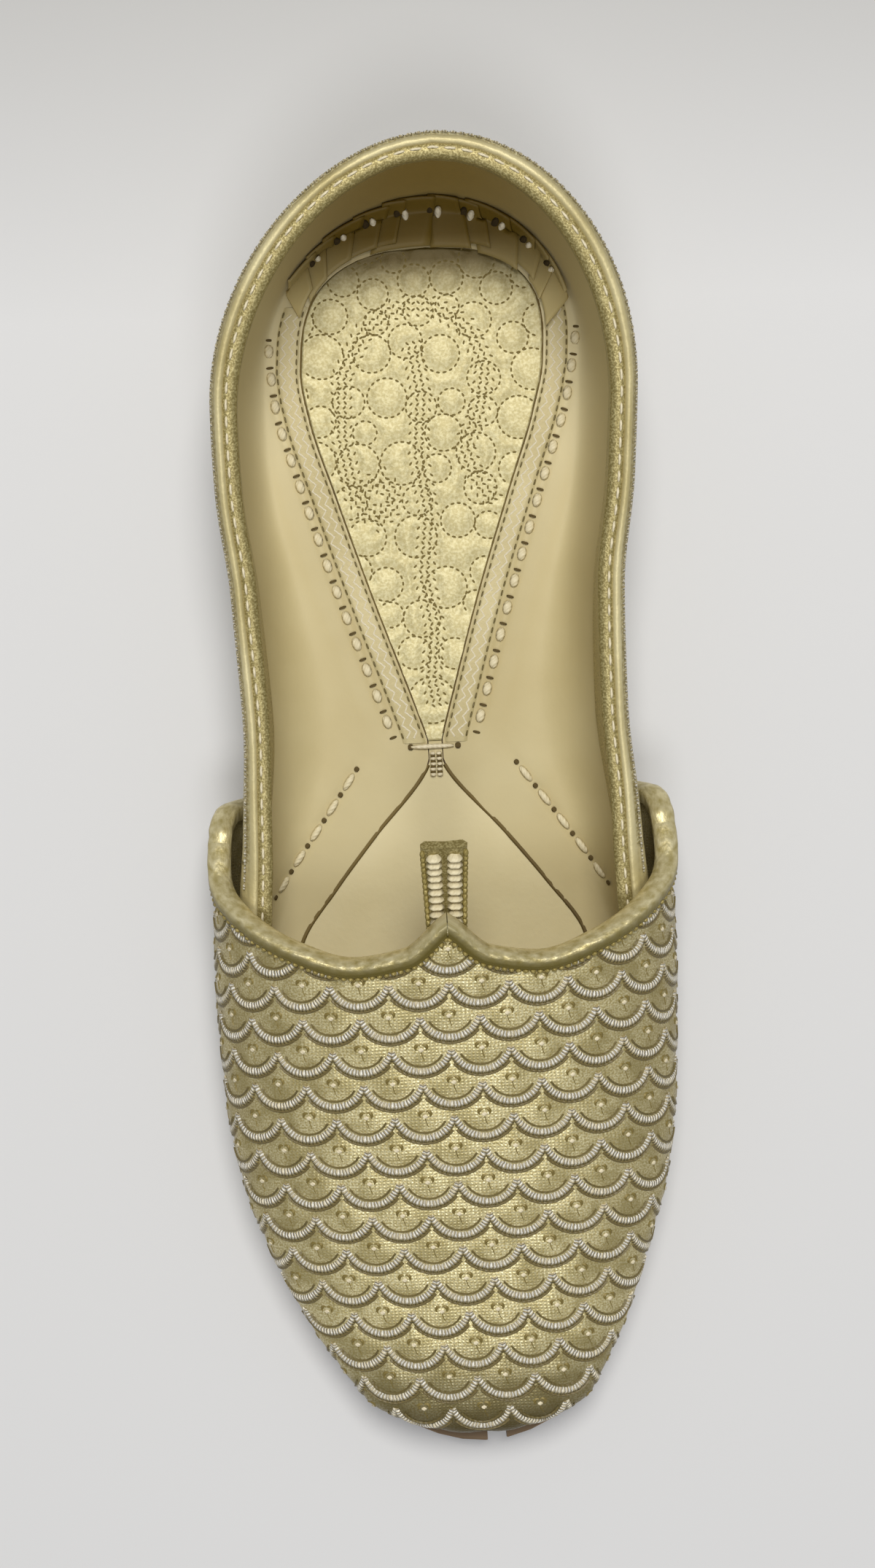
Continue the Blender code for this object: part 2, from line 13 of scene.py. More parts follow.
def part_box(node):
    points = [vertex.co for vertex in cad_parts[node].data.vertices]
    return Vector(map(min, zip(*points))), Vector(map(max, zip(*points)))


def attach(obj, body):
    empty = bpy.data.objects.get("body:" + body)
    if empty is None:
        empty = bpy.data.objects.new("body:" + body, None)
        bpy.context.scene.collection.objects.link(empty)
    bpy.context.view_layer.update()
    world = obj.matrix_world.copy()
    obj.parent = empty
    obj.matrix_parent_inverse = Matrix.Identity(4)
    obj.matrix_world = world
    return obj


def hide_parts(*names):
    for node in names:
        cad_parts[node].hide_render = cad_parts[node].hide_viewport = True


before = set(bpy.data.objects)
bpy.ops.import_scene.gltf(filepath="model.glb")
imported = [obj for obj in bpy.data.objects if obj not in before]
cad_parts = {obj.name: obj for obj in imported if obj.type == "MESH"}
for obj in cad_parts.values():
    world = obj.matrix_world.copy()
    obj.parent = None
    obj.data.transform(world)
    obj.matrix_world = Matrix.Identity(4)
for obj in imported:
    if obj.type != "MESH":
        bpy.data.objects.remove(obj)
bpy.ops.object.select_all(action="DESELECT")
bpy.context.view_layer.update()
noise = np.random.default_rng(4)
mm = 0.001
quarterTurn = math.pi / 2

# The last that every curved piece follows
last = {
    "length": 0.250, "ball": 0.0872, "heel": 0.052, "instep": 0.0415, "heelBulge": 0.0077,
    "heelReach": 0.075, "toeBulge": 0.004, "noseReach": 0.014, "toeWelt": 0.0065, "bow": 0.004,
    "archRise": 0.0013, "toeSpring": 0.0035, "wingFlare": 0.0045, "roundness": 2.2,
    "wall": 0.002, "vampWall": 0.0015, "lip": 0.0013, "sock": 0.0009, "gap": 0.0003, "fit": 0.0004,
    "binding": 0.001, "marginHeel": 0.0143, "marginToe": 0.0137, "liningOpen": 0.585,
    "liningClosed": 0.60, "heelFlatEnd": 0.30, "ballFlatStart": 0.56, "ballFlatEnd": 0.84,
    "wingFoot": 0.3, "toeStart": 0.91,
    "footRound": (0.13, 2.2), "wallRound": (0.19, 1.92), "toeRound": (0.035, 2.0),
    "marginHeelRound": (0.09, 2.6), "marginToeRound": (0.06, 2.0),
}
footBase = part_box("upper")[0].z
columns = {"foot": 2, "upper": 3, "widest": 4, "crown": 5, "bow": 6}
# station, sole, foot, upper (half-widths), widest, crown (heights), bow
sections = [
    (0.00, 0.733, 0.686, 0.870, 0.650, 2.650, 1.00), (0.10, 0.767, 0.702, 0.874, 0.640, 2.590, 0.45),
    (0.18, 0.774, 0.702, 0.872, 0.630, 2.550, 0.12), (0.25, 0.740, 0.665, 0.858, 0.614, 2.410, -0.02),
    (0.33, 0.640, 0.555, 0.805, 0.585, 2.240, -0.10), (0.42, 0.565, 0.460, 0.793, 0.545, 1.660, 0.00),
    (0.50, 0.705, 0.558, 0.833, 0.506, 1.205, 0.08), (0.57, 0.837, 0.700, 0.888, 0.417, 1.017, 0.04),
    (0.65, 0.916, 0.814, 0.953, 0.313, 0.834, 0.00), (0.72, 0.921, 0.823, 0.940, 0.267, 0.696, 0.02),
    (0.78, 0.888, 0.778, 0.890, 0.239, 0.586, 0.08), (0.84, 0.818, 0.675, 0.785, 0.210, 0.475, 0.19),
    (0.90, 0.700, 0.538, 0.638, 0.181, 0.371, 0.45), (0.95, 0.545, 0.377, 0.468, 0.164, 0.289, 0.70),
    (1.00, 0.410, 0.251, 0.330, 0.145, 0.229, 0.95),
]
rim = [
    (0.00, 1.000), (0.04, 0.990), (0.10, 0.950), (0.16, 0.905), (0.22, 0.865), (0.30, 0.810),
    (0.38, 0.765), (0.46, 0.725), (0.52, 0.695), (0.56, 0.660), (0.60, 0.620),
]
margin = [
    (0.05, 0.523), (0.10, 0.547), (0.15, 0.551), (0.19, 0.509), (0.25, 0.398), (0.32, 0.265),
    (0.40, 0.116), (0.4435, 0.038), (0.446, 0.034), (0.462, 0.034), (0.465, 0.040), (0.52, 0.300),
    (0.56, 0.481), (0.60, 0.640),
    (0.65, 0.712), (0.70, 0.716), (0.75, 0.681), (0.80, 0.616), (0.85, 0.519), (0.90, 0.395),
    (0.95, 0.256), (1.00, 0.150),
]
throat = [
    (0.000, 0.572), (0.095, 0.597), (0.236, 0.603), (0.417, 0.591), (0.685, 0.564), (0.890, 0.541),
    (0.950, 0.528), (1.050, 0.505), (1.300, 0.490), (2.000, 0.485),
]
flare = [(0.47, 1.0), (0.50, 0.95), (0.55, 0.76), (0.57, 0.62), (0.60, 0.38), (0.65, 0.04), (0.70, 0.0)]


def smoothCurve(points):
    # A smooth curve through points that never swings past them.
    places, values = np.array(points, float).T
    steps = np.diff(values) / np.diff(places)
    rising = steps[:-1] * steps[1:] > 0
    total = np.where(rising, steps[:-1] + steps[1:], 1.0)
    inner = np.where(rising, 2 * steps[:-1] * steps[1:] / total, 0.0)
    slopes = np.concatenate([steps[:1], inner, steps[-1:]])

    def valueAt(place):
        place = np.clip(place, places[0], places[-1])
        i = np.clip(np.searchsorted(places, place, side="right") - 1, 0, len(steps) - 1)
        width = places[i + 1] - places[i]
        share = (place - places[i]) / width
        rest = 1 - share
        return (values[i] * rest * rest * (1 + 2 * share) + values[i + 1] * share * share * (1 + 2 * rest)
                + slopes[i] * width * share * rest * rest - slopes[i + 1] * width * share * share * rest)

    return valueAt


def sectionCurve(column, size):
    return smoothCurve([(row[0], row[columns[column]] * size) for row in sections])


footHalf = sectionCurve("foot", last["ball"] / 2)
upperHalf = sectionCurve("upper", last["ball"] / 2)
widestRise = sectionCurve("widest", last["instep"])
crownRise = sectionCurve("crown", last["instep"])
centreLine = sectionCurve("bow", last["bow"])
rimHeight = smoothCurve([(station, share * last["heel"]) for station, share in rim])
marginHalf = smoothCurve([(station, share * last["ball"] / 2) for station, share in margin])
throatStation = smoothCurve(throat)
wingFlare = smoothCurve([(station, share * last["wingFlare"]) for station, share in flare])


def footLine(station):
    station = np.asarray(station, float)
    waist = np.clip((station - last["heelFlatEnd"]) / (last["ballFlatStart"] - last["heelFlatEnd"]), 0, 1)
    spring = np.clip((station - last["ballFlatEnd"]) / (1 - last["ballFlatEnd"]), 0, 1)
    return footBase + last["archRise"] * np.sin(waist * math.pi) ** 2 + last["toeSpring"] * spring ** 2


def stationOf(y):
    return (last["length"] / 2 - y) / last["length"]


def placeOf(station):
    return last["length"] / 2 - station * last["length"]


def rounded(share, heel, toe):
    heelShare = np.clip(1 - share / heel[0], 0, 1)
    toeShare = np.clip((share - 1 + toe[0]) / toe[0], 0, 1)
    return ((1 - heelShare ** heel[1]) ** (1 / heel[1])) * ((1 - toeShare ** toe[1]) ** (1 / toe[1]))


def reach(level, grow):
    # Where the wall ends at the back of the heel and at the toe, at one level.
    back = last["length"] / 2
    tip = -last["length"] / 2 + last["toeWelt"]
    low = level <= 1
    out = np.where(low, np.sin(np.clip(level, 0, 1) * quarterTurn),
                   np.maximum(0, np.cos((np.clip(level, 1, 2) - 1) * quarterTurn)) ** (2 / last["roundness"]))
    inset = np.where(low, last["heelBulge"], last["heelReach"])
    nose = np.where(low, last["toeBulge"], last["noseReach"])
    return back - inset + (inset + grow) * out, tip + nose - (nose + grow) * out


def wallPoint(along, level, side, grow=0.0, drop=0.0, flared=False):
    along, level, side, grow, drop = np.broadcast_arrays(
        *(np.asarray(value, float) for value in (along, level, side, grow, drop)))
    along = np.clip(along, 0, 1)
    back, tip = reach(level, grow)
    y = back + (tip - back) * along
    station = stationOf(y)
    low = level <= 1
    turn = np.where(low, level, level - 1) * quarterTurn
    sine, cosine = np.sin(turn), np.maximum(np.cos(turn), 0)
    power = 2 / last["roundness"]
    foot, widest, crown = footHalf(station), widestRise(station), crownRise(station)
    half = upperHalf(station) + grow
    wing = wingFlare(station) if flared else 0.0
    x = np.where(low, foot + (half - foot) * sine + wing * sine * sine, (half + wing) * cosine ** power)
    z = np.where(low, widest - (widest + drop) * cosine, widest + (crown - widest + grow) * sine ** power)
    share = np.where(low, sine, 1.0)
    heelRound = [foot + (wall - foot) * share for foot, wall in zip(last["footRound"], last["wallRound"])]
    x = x * rounded(along, heelRound, last["toeRound"])
    return np.stack([side * x + centreLine(station), y, footLine(station) + z], -1)


def alongAt(station, level, grow):
    back, tip = reach(level, grow)
    return (placeOf(station) - back) / (tip - back)


def levelAt(along, height, grow=0.0, drop=0.0, flared=False):
    # The level where the wall reaches a height that may vary with the station.
    along, grow = np.broadcast_arrays(np.asarray(along, float), np.asarray(grow, float))
    low, high = np.zeros(along.shape), np.full(along.shape, 2.0)
    for _ in range(34):
        middle = (low + high) / 2
        point = wallPoint(along, middle, 1, grow, drop, flared)
        under = point[..., 2] < height(stationOf(point[..., 1]))
        low, high = np.where(under, middle, low), np.where(under, high, middle)
    return high


def topLevel(along, grow, drop):
    edge = levelAt(along, rimHeight, grow, drop)
    climb = np.clip((along - last["liningOpen"]) / (last["liningClosed"] - last["liningOpen"]), 0, 1)
    return edge + (2 - edge) * climb


marginEnds = (last["length"] / 2 - last["marginHeel"], -last["length"] / 2 + last["marginToe"])


def marginWidth(station, along):
    return marginHalf(station) * rounded(along, last["marginHeelRound"], last["marginToeRound"])


def marginPoint(along, side, lift):
    back, tip = marginEnds
    y = back + (tip - back) * along
    station = stationOf(y)
    half = marginWidth(station, along)
    return np.stack(np.broadcast_arrays(side * half + centreLine(station), y, footLine(station) + lift), -1)


def marginEdge(station):
    # Half the width between the turned-in edges of the lining.
    back, tip = marginEnds
    return marginWidth(station, np.clip((placeOf(station) - back) / (tip - back), 0, 1))


def vampPlace(down, share, end, grow):
    # Where a place on the vamp lies: down from the ridge, and a share of the way from its edge.
    level = np.where(down <= 1, 2 - down, 1 - (down - 1) * (1 - last["wingFoot"]))
    along = alongAt(throatStation(down), level, grow)
    along = along + (end - along) * share
    bottom = levelAt(along, footLine, grow, grow, True)
    return along, np.where(down > 1, 1 - (down - 1) * (1 - bottom), level)


# Meshes
def linear(part):
    return part / 12.92 if part <= 0.04045 else ((part + 0.055) / 1.055) ** 2.4


def colour(code):
    return (*(linear(int(code[i:i + 2], 16) / 255) for i in (0, 2, 4)), 1.0)


def writeUV(mesh, coordinates):
    layer = mesh.uv_layers.get("mm") or mesh.uv_layers.new(name="mm")
    corners = np.empty(len(mesh.loops), int)
    mesh.loops.foreach_get("vertex_index", corners)
    layer.data.foreach_set("uv", np.asarray(coordinates, np.float32)[corners].ravel())
    layer.active = True


def finishMesh(piece, merge, angle):
    form = bmesh.new()
    form.from_mesh(piece.data)
    bmesh.ops.remove_doubles(form, verts=form.verts, dist=merge)
    bmesh.ops.recalc_face_normals(form, faces=form.faces)
    form.to_mesh(piece.data)
    form.free()
    piece.data.shade_smooth()
    piece.data.set_sharp_from_angle(angle=math.radians(angle))


def bendSheet(name, points, coordinates, materials, skip=None, merge=1e-6, angle=40, zones=None):
    # A flat grid is bent so that each of its vertices lies where points says.
    # zones gives each row of faces its material.
    rows, columns = points.shape[:2]
    bpy.ops.mesh.primitive_grid_add(x_subdivisions=columns - 1, y_subdivisions=rows - 1, size=1)
    piece = bpy.context.object
    piece.name = name
    piece.data.name = name
    assert len(piece.data.vertices) == rows * columns
    piece.data.vertices.foreach_set("co", points.astype(np.float32).ravel())
    for layer in list(piece.data.uv_layers):
        piece.data.uv_layers.remove(layer)
    writeUV(piece.data, coordinates.reshape(-1, 2))
    for material in materials:
        piece.data.materials.append(material)
    if zones is not None:
        piece.data.polygons.foreach_set("material_index", np.repeat(zones, columns - 1))
    if skip is not None:
        form = bmesh.new()
        form.from_mesh(piece.data)
        form.faces.ensure_lookup_table()
        gone = [form.faces[i] for i in np.flatnonzero(skip.ravel())]
        bmesh.ops.delete(form, geom=gone, context="FACES")
        form.to_mesh(piece.data)
        form.free()
    finishMesh(piece, merge, angle)
    piece.select_set(False)
    return piece


def lengths(points):
    steps = np.linalg.norm(np.diff(points, axis=0), axis=-1)
    return np.concatenate([[0], np.cumsum(steps)])


def unit(vectors):
    return vectors / np.maximum(np.linalg.norm(vectors, axis=-1, keepdims=True), 1e-12)


def gridNormals(points):
    return unit(np.cross(np.gradient(points, axis=1), np.gradient(points, axis=0)))


def turnedTo(normals, sample, axis=2):
    # The normals, turned round if the sampled one points down the axis.
    return -normals if normals[sample][axis] < 0 else normals


def followed(places, along, path):
    # Points or directions at places along a path.
    return np.stack([np.interp(places, along, path[:, k]) for k in range(path.shape[1])], -1)


def unroll(lines, across, along, step=0.0005):
    # A bent surface as an even grid. lines are rows of (x, y, z, extra...), across and along its places.
    us = np.arange(across.min(), across.max(), step)
    vs = np.arange(along[0], along[-1], step)
    channels = lines.shape[2]
    rows = np.stack([np.stack([np.interp(us, across[i], lines[i, :, k]) for k in range(channels)], -1)
                     for i in range(len(lines))])
    place = np.interp(vs, along, np.arange(len(along)))
    first = np.minimum(place.astype(int), len(along) - 2)
    share = (place - first)[:, None, None]
    values = rows[first] * (1 - share) + rows[first + 1] * share
    share = share[:, :, 0]
    low = across[first, 0][:, None] * (1 - share) + across[first + 1, 0][:, None] * share
    high = across[first, -1][:, None] * (1 - share) + across[first + 1, -1][:, None] * share
    inside = (us[None, :] > low) & (us[None, :] < high)
    return {"u": us[0], "v": vs[0], "step": step, "values": values, "points": values[..., :3],
            "normals": gridNormals(values[..., :3]), "inside": inside}


def blended(grid, row, column):
    # Values of a grid at places between its points.
    i = np.minimum(row.astype(int), grid.shape[0] - 2)
    j = np.minimum(column.astype(int), grid.shape[1] - 2)
    s, t = (column - j)[..., None], (row - i)[..., None]
    return ((grid[i, j] * (1 - s) + grid[i, j + 1] * s) * (1 - t)
            + (grid[i + 1, j] * (1 - s) + grid[i + 1, j + 1] * s) * t)


def onTable(table, u, v):
    # Places and normals on an unrolled surface, and whether they are inside its edges.
    rows, columns = table["inside"].shape
    column = np.clip((u - table["u"]) / table["step"], 0, columns - 1.001)
    row = np.clip((v - table["v"]) / table["step"], 0, rows - 1.001)
    place, normal = (blended(table[key], row, column) for key in ("points", "normals"))
    return place, unit(normal), table["inside"][np.rint(row).astype(int), np.rint(column).astype(int)]


# Outlines that a thread is swept with
roundRing = [(math.cos(turn), math.sin(turn)) for turn in np.linspace(0, 2 * math.pi, 7)[:-1]]
triRing = [(-1, 0), (0, 1), (1, 0)]
satinRing = [(-1, -0.1), (-0.72, 0.66), (0, 1), (0.72, 0.66), (1, -0.1)]


def meshPiece(name, points, faces, material):
    mesh = bpy.data.meshes.new(name)
    mesh.from_pydata(points, [], faces)
    mesh.materials.append(material)
    piece = bpy.data.objects.new(name, mesh)
    bpy.context.scene.collection.objects.link(piece)
    return piece


def tubes(name, parts, ring, material):
    # One mesh of closed tubes. Each part has a place, two directions, half width, half rise
    # and the coordinates for its texture, all by ring.
    ring = np.array(ring)
    count = len(ring)
    points, coordinates, faces = [], [], []
    first = 0
    for middle, beside, normal, width, rise, along, span in parts:
        loops = (middle[:, None] + beside[:, None] * (width[:, None, None] * ring[None, :, :1])
                 + normal[:, None] * (rise[:, None, None] * ring[None, :, 1:]))
        points.append(loops.reshape(-1, 3))
        across = ring[None, :, 0] * span[:, None] / mm
        coordinates.append(np.stack(np.broadcast_arrays(along[:, None] / mm, across), -1).reshape(-1, 2))
        end = first + (len(middle) - 1) * count
        for start in range(first, end, count):
            for k in range(count):
                a, b = start + k, start + (k + 1) % count
                faces.append((a, b, b + count, a + count))
        faces += [tuple(range(first, first + count))[::-1], tuple(range(end, end + count))]
        first = end + count
    piece = meshPiece(name, np.concatenate(points).tolist(), faces, material)
    writeUV(piece.data, np.concatenate(coordinates))
    piece.data.shade_smooth()
    return piece


def threads(name, table, strands, ring, material):
    # One mesh of threads that lie on an unrolled surface.
    # A strand is (u, v, height, half width, half rise), each a number or a list.
    parts = []
    for strand in strands:
        u, v, height, width, rise = np.broadcast_arrays(*(np.asarray(value, float) for value in strand))
        place, normal, inside = onTable(table, u, v)
        for run in np.split(np.arange(len(u)), np.flatnonzero(np.diff(inside.astype(int))) + 1):
            if inside[run[0]] and len(run) > 2:
                middle = place[run] + normal[run] * height[run][:, None]
                beside = unit(np.cross(normal[run], unit(np.gradient(middle, axis=0))))
                along = lengths(middle)
                along = along - along[-1] / 2
                parts.append((middle, beside, normal[run], width[run], rise[run], along, width[run]))
    piece = tubes(name, parts, ring, material)
    piece.data.set_sharp_from_angle(angle=math.radians(60))
    return piece


def stitches(name, path, normals, shape, material, lift=0.0, sag=1.0, offset=0.0, slot="stitched_cord"):
    # A row of separate stitches along a line in space. Each bows up from the line and tapers to its ends.
    # shape is (length, pitch, half width, half rise), in millimetres like lift and offset.
    length, pitch, width, rise = (value * mm for value in shape)
    along = lengths(path)
    share = np.linspace(0, 1, 7)
    bow = np.sin(share * math.pi)
    taper = 0.45 + 0.55 * bow ** 0.5
    parts = []
    for start in np.arange(pitch / 2 + offset * mm, along[-1] - length, pitch):
        places = start + length * share
        middle = followed(places, along, path)
        normal = unit(followed(places, along, normals))
        beside = np.cross(normal, unit(np.gradient(middle, axis=0)))
        middle = middle + normal * (lift * mm + sag * rise * (bow - 0.6))[:, None]
        parts.append((middle, beside, normal, taper * width, taper * rise, places, np.full(7, width)))
    return seat(tubes(name, parts, roundRing, material), slot)


def seat(piece, slot, *nodes):
    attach(piece, "root")
    if nodes:
        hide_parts(*nodes)
    return piece


# Materials
def addNode(tree, kind, inputs=None, **settings):
    node = tree.nodes.new(kind)
    for key, value in settings.items():
        setattr(node, key, value)
    for key, value in (inputs or {}).items():
        if isinstance(value, bpy.types.NodeSocket):
            tree.links.new(value, node.inputs[key])
        else:
            node.inputs[key].default_value = value
    return node


def startMaterial(name, base, roughness, metallic=0.0, **more):
    material = bpy.data.materials.new(name)
    material.use_nodes = True
    shader = material.node_tree.nodes["Principled BSDF"]
    shader.inputs["Base Color"].default_value = colour(base)
    shader.inputs["Roughness"].default_value = roughness
    shader.inputs["Metallic"].default_value = metallic
    for key, value in more.items():
        shader.inputs[key].default_value = value
    return material, material.node_tree, shader


def coordinatesOf(tree, kind):
    if kind == "UV":
        return addNode(tree, "ShaderNodeUVMap", uv_map="mm").outputs["UV"]
    return addNode(tree, "ShaderNodeTexCoord").outputs["Object"]


def axisOf(tree, place, letter):
    return addNode(tree, "ShaderNodeSeparateXYZ", {"Vector": place}).outputs[letter]


def mixColours(tree, share, first, second):
    node = addNode(tree, "ShaderNodeMix", {0: share, 6: first, 7: second}, data_type="RGBA")
    return node.outputs[2]


def spread(tree, value, low, high, start=0.0, end=1.0):
    node = addNode(tree, "ShaderNodeMapRange", {"Value": value, "From Min": low, "From Max": high,
                                                "To Min": start, "To Max": end})
    return node.outputs["Result"]


def addBump(tree, shader, height, distance, strength=1.0):
    node = addNode(tree, "ShaderNodeBump", {"Height": height, "Distance": distance, "Strength": strength})
    tree.links.new(node.outputs["Normal"], shader.inputs["Normal"])


def noiseAt(tree, place, scale, detail=2.0):
    node = addNode(tree, "ShaderNodeTexNoise", {"Vector": place, "Scale": scale, "Detail": detail})
    return node.outputs["Fac"]


def clouded(tree, cloud, low, high, first, second):
    return mixColours(tree, spread(tree, cloud, low, high), colour(first), colour(second))


def paint(tree, shader, shade):
    tree.links.new(shade, shader.inputs["Base Color"])


def makeSatin():
    # Satin stitch: cream viscose threads laid side by side across the band, with painted shade in olive on
    # its lower side
    material, tree, shader = startMaterial("satinThread", "E2D5B8", 0.34, 0.0)
    place = coordinatesOf(tree, "UV")
    ribs = addNode(tree, "ShaderNodeTexWave", {
        "Vector": place, "Scale": 0.46, "Distortion": 3.4, "Detail": 2.0, "Detail Scale": 2.0,
    }, bands_direction="X").outputs["Fac"]
    shade = clouded(tree, ribs, 0.04, 0.38, "A89668", "FFFBEE")
    tone = noiseAt(tree, coordinatesOf(tree, "Object"), 420.0)
    shade = mixColours(tree, spread(tree, tone, 0.45, 0.8), shade, colour("F2E4BE"))
    # painted shade: olive 8B7D50 on the lower side of each band, turned away from the light
    lower = spread(tree, axisOf(tree, place, "Y"), -0.42, 0.12)
    paint(tree, shader, mixColours(tree, lower, colour("8B7D50"), shade))
    addBump(tree, shader, ribs, 0.0004, 1.0)
    return material


def makeThread(name, base, roughness=0.5, metallic=0.0):
    # Twisted sewing thread
    material, tree, shader = startMaterial(name, base, roughness, metallic)
    twist = addNode(tree, "ShaderNodeTexWave", {
        "Vector": coordinatesOf(tree, "UV"), "Scale": 0.6, "Distortion": 0.3,
    }, bands_direction="DIAGONAL").outputs["Fac"]
    addBump(tree, shader, twist, 0.0001, 0.7)
    return material


def makeTissue():
    # Gold tissue: flat metal strips woven on cotton, with painted shade at the toe and along the sides
    material, tree, shader = startMaterial("goldTissue", "D6C88F", 0.5, 0.45)
    place = coordinatesOf(tree, "UV")
    warp, weft = (addNode(tree, "ShaderNodeTexWave", {
        "Vector": place, "Scale": density, "Distortion": 1.2, "Detail": 2.0,
    }, bands_direction=direction).outputs["Fac"] for density, direction in ((0.42, "X"), (0.5, "Y")))
    weave = addNode(tree, "ShaderNodeMath", {0: warp, 1: weft}, operation="MULTIPLY").outputs[0]
    glint = noiseAt(tree, place, 2.6, 3.0)
    patch = noiseAt(tree, place, 0.2, 1.0)
    shade = clouded(tree, glint, 0.40, 0.66, "BFAF76", "FFF6C8")
    shade = mixColours(tree, spread(tree, patch, 0.42, 0.62, 0.0, 0.55), shade, colour("9E8F56"))
    body = coordinatesOf(tree, "Object")
    # painted shade: darker towards the toe tip, whose steep front faces away from the light
    toe = spread(tree, axisOf(tree, body, "Y"), -0.120, -0.098)
    shade = mixColours(tree, toe, colour("544820"), shade)
    # painted shade: darker along both sides, where the vamp turns away from the light overhead
    beside = addNode(tree, "ShaderNodeMath", {0: axisOf(tree, body, "X")}, operation="ABSOLUTE").outputs[0]
    paint(tree, shader, mixColours(tree, spread(tree, beside, 0.02, 0.04, 0.0, 0.5), shade, colour("85774A")))
    tree.links.new(spread(tree, glint, 0.3, 0.7, 0.5, 0.3), shader.inputs["Roughness"])
    addBump(tree, shader, weave, 0.00008, 0.6)
    return material


def makeLeather(name, base, shade, roughness, metallic, grain=900.0, depth=0.00005):
    # Smooth metallic-finished goat leather
    material, tree, shader = startMaterial(name, base, roughness, metallic)
    place = coordinatesOf(tree, "Object")
    paint(tree, shader, clouded(tree, noiseAt(tree, place, 45.0, 3.0), 0.35, 0.7, base, shade))
    addBump(tree, shader, noiseAt(tree, place, grain, 3.0), depth, 0.6)
    return material


def makeGlitter(name, dark, light, roughness, metallic, grain):
    # Leather with a crushed metal foil finish
    material, tree, shader = startMaterial(name, dark, roughness, metallic)
    flakes = noiseAt(tree, coordinatesOf(tree, "Object"), grain, 2.0)
    paint(tree, shader, clouded(tree, flakes, 0.42, 0.66, dark, light))
    addBump(tree, shader, flakes, 0.00015, 0.7)
    return material


def makeLining(name, base, shade, middle, start, end, paintedShade):
    # Smooth pale gold goat leather. Towards the heel it takes the middle colour, which on the lining is
    # painted light, paler on the walls beside the heel; behind the heel it takes painted shade, deeper in
    # tone
    material, tree, shader = startMaterial(name, base, 0.6, 0.0)
    place = coordinatesOf(tree, "Object")
    tone = clouded(tree, noiseAt(tree, place, 38.0, 3.0), 0.35, 0.7, base, shade)
    back = axisOf(tree, place, "Y")
    # painted light on the lining: the middle colour from Y 0.045 to 0.08 onwards, paler on the walls beside
    # the heel
    tone = mixColours(tree, spread(tree, back, 0.045, 0.08), tone, colour(middle))
    # painted shade: deeper in tone at the back of the heel, where the light does not reach
    paint(tree, shader, mixColours(tree, spread(tree, back, start, end), tone, colour(paintedShade)))
    addBump(tree, shader, noiseAt(tree, place, 800.0, 3.0), 0.00005, 0.6)
    return material


def makeSockLeather():
    # Pebbled gold leather, in shadow under the pleats
    material, tree, shader = startMaterial("sockLeather", "CCC294", 0.48, 0.25)
    place = coordinatesOf(tree, "Object")
    pebble = noiseAt(tree, place, 1900.0, 2.0)
    shade = clouded(tree, pebble, 0.38, 0.66, "B4A877", "CDC499")
    back = spread(tree, axisOf(tree, place, "Y"), 0.1005, 0.1085)
    paint(tree, shader, mixColours(tree, back, shade, colour("5E4E1A")))
    addBump(tree, shader, pebble, 0.00006, 0.6)
    return material


def makeRollLeather():
    # Wrinkled metallic leather stretched over a cord, with painted shade in olive along the hem where it
    # turns under
    material, tree, shader = startMaterial("rollLeather", "D2C48E", 0.42, 0.5)
    place = coordinatesOf(tree, "UV")
    wrinkle = noiseAt(tree, place, 0.5, 3.0)
    shade = clouded(tree, wrinkle, 0.3, 0.7, "B3A46A", "E6DBB0")
    # painted shade: olive 786B30 along the hem, the roll's lower side that turns away from the light
    hem = spread(tree, axisOf(tree, place, "X"), 2.0, 5.6)
    paint(tree, shader, mixColours(tree, hem, colour("786B30"), shade))
    addBump(tree, shader, wrinkle, 0.0003, 0.8)
    return material


def makeSoleLeather(name, base, shade):
    # Vegetable-tanned leather, built up in layers that show at its cut edge
    material, tree, shader = startMaterial(name, base, 0.62)
    place = coordinatesOf(tree, "Object")
    height = axisOf(tree, place, "Z")
    layers = addNode(tree, "ShaderNodeMath", {0: height, 1: 3800.0}, operation="MULTIPLY").outputs[0]
    wave = addNode(tree, "ShaderNodeMath", {0: layers}, operation="SINE").outputs[0]
    tone = clouded(tree, wave, -0.6, 0.6, shade, base)
    blotch = spread(tree, noiseAt(tree, place, 120.0, 4.0), 0.4, 0.7)
    paint(tree, shader, mixColours(tree, blotch, tone, colour(shade)))
    addBump(tree, shader, noiseAt(tree, place, 700.0, 3.0), 0.0001, 0.6)
    return material


satin = makeSatin()
tissue = makeTissue()
# painted shadow: dark olive strands along the toe side of each satin band
outlineThread = makeThread("outlineThread", "766840")
motifThread = makeThread("motifThread", "86763F", 0.5, 0.2)
fineThread = makeThread("fineThread", "6E6138")
shadeThread = makeGlitter("shadeThread", "8F7E50", "B8A674", 0.45, 0.5, 1500.0)
creamThread = makeThread("creamThread", "E4D8B8", 0.45)
stripThread = makeThread("stripThread", "F2E9D0", 0.5)
seamThread = makeThread("seamThread", "E0D4B0", 0.5)
oliveThread = makeThread("oliveThread", "9C8C50", 0.45, 0.25)
# painted shade: the dark colour of the hole slots stands for the shade inside each hole
darkHole = startMaterial("needleHole", "5A4A26", 0.9)[0]
pleatHole = startMaterial("pleatHole", "3A2C0E", 0.9)[0]
# painted light paler on the walls beside the heel, painted shade 9A8242 behind it
liningLeather = makeLining("liningLeather", "CBBD90", "C0B080", "D8CBA0", 0.098, 0.123, "9A8242")
floorLeather = makeLeather("floorLeather", "D8CBA0", "D0C294", 0.5, 0.08)
stripLeather = makeLeather("stripLeather", "C6B98C", "B5A778", 0.5, 0.1, 1200.0, 0.0001)
sockLeather = makeSockLeather()
rollLeather = makeRollLeather()
pipingLeather = makeLeather("pipingLeather", "D6CA9C", "B5A670", 0.48, 0.25, 700.0, 0.0003)
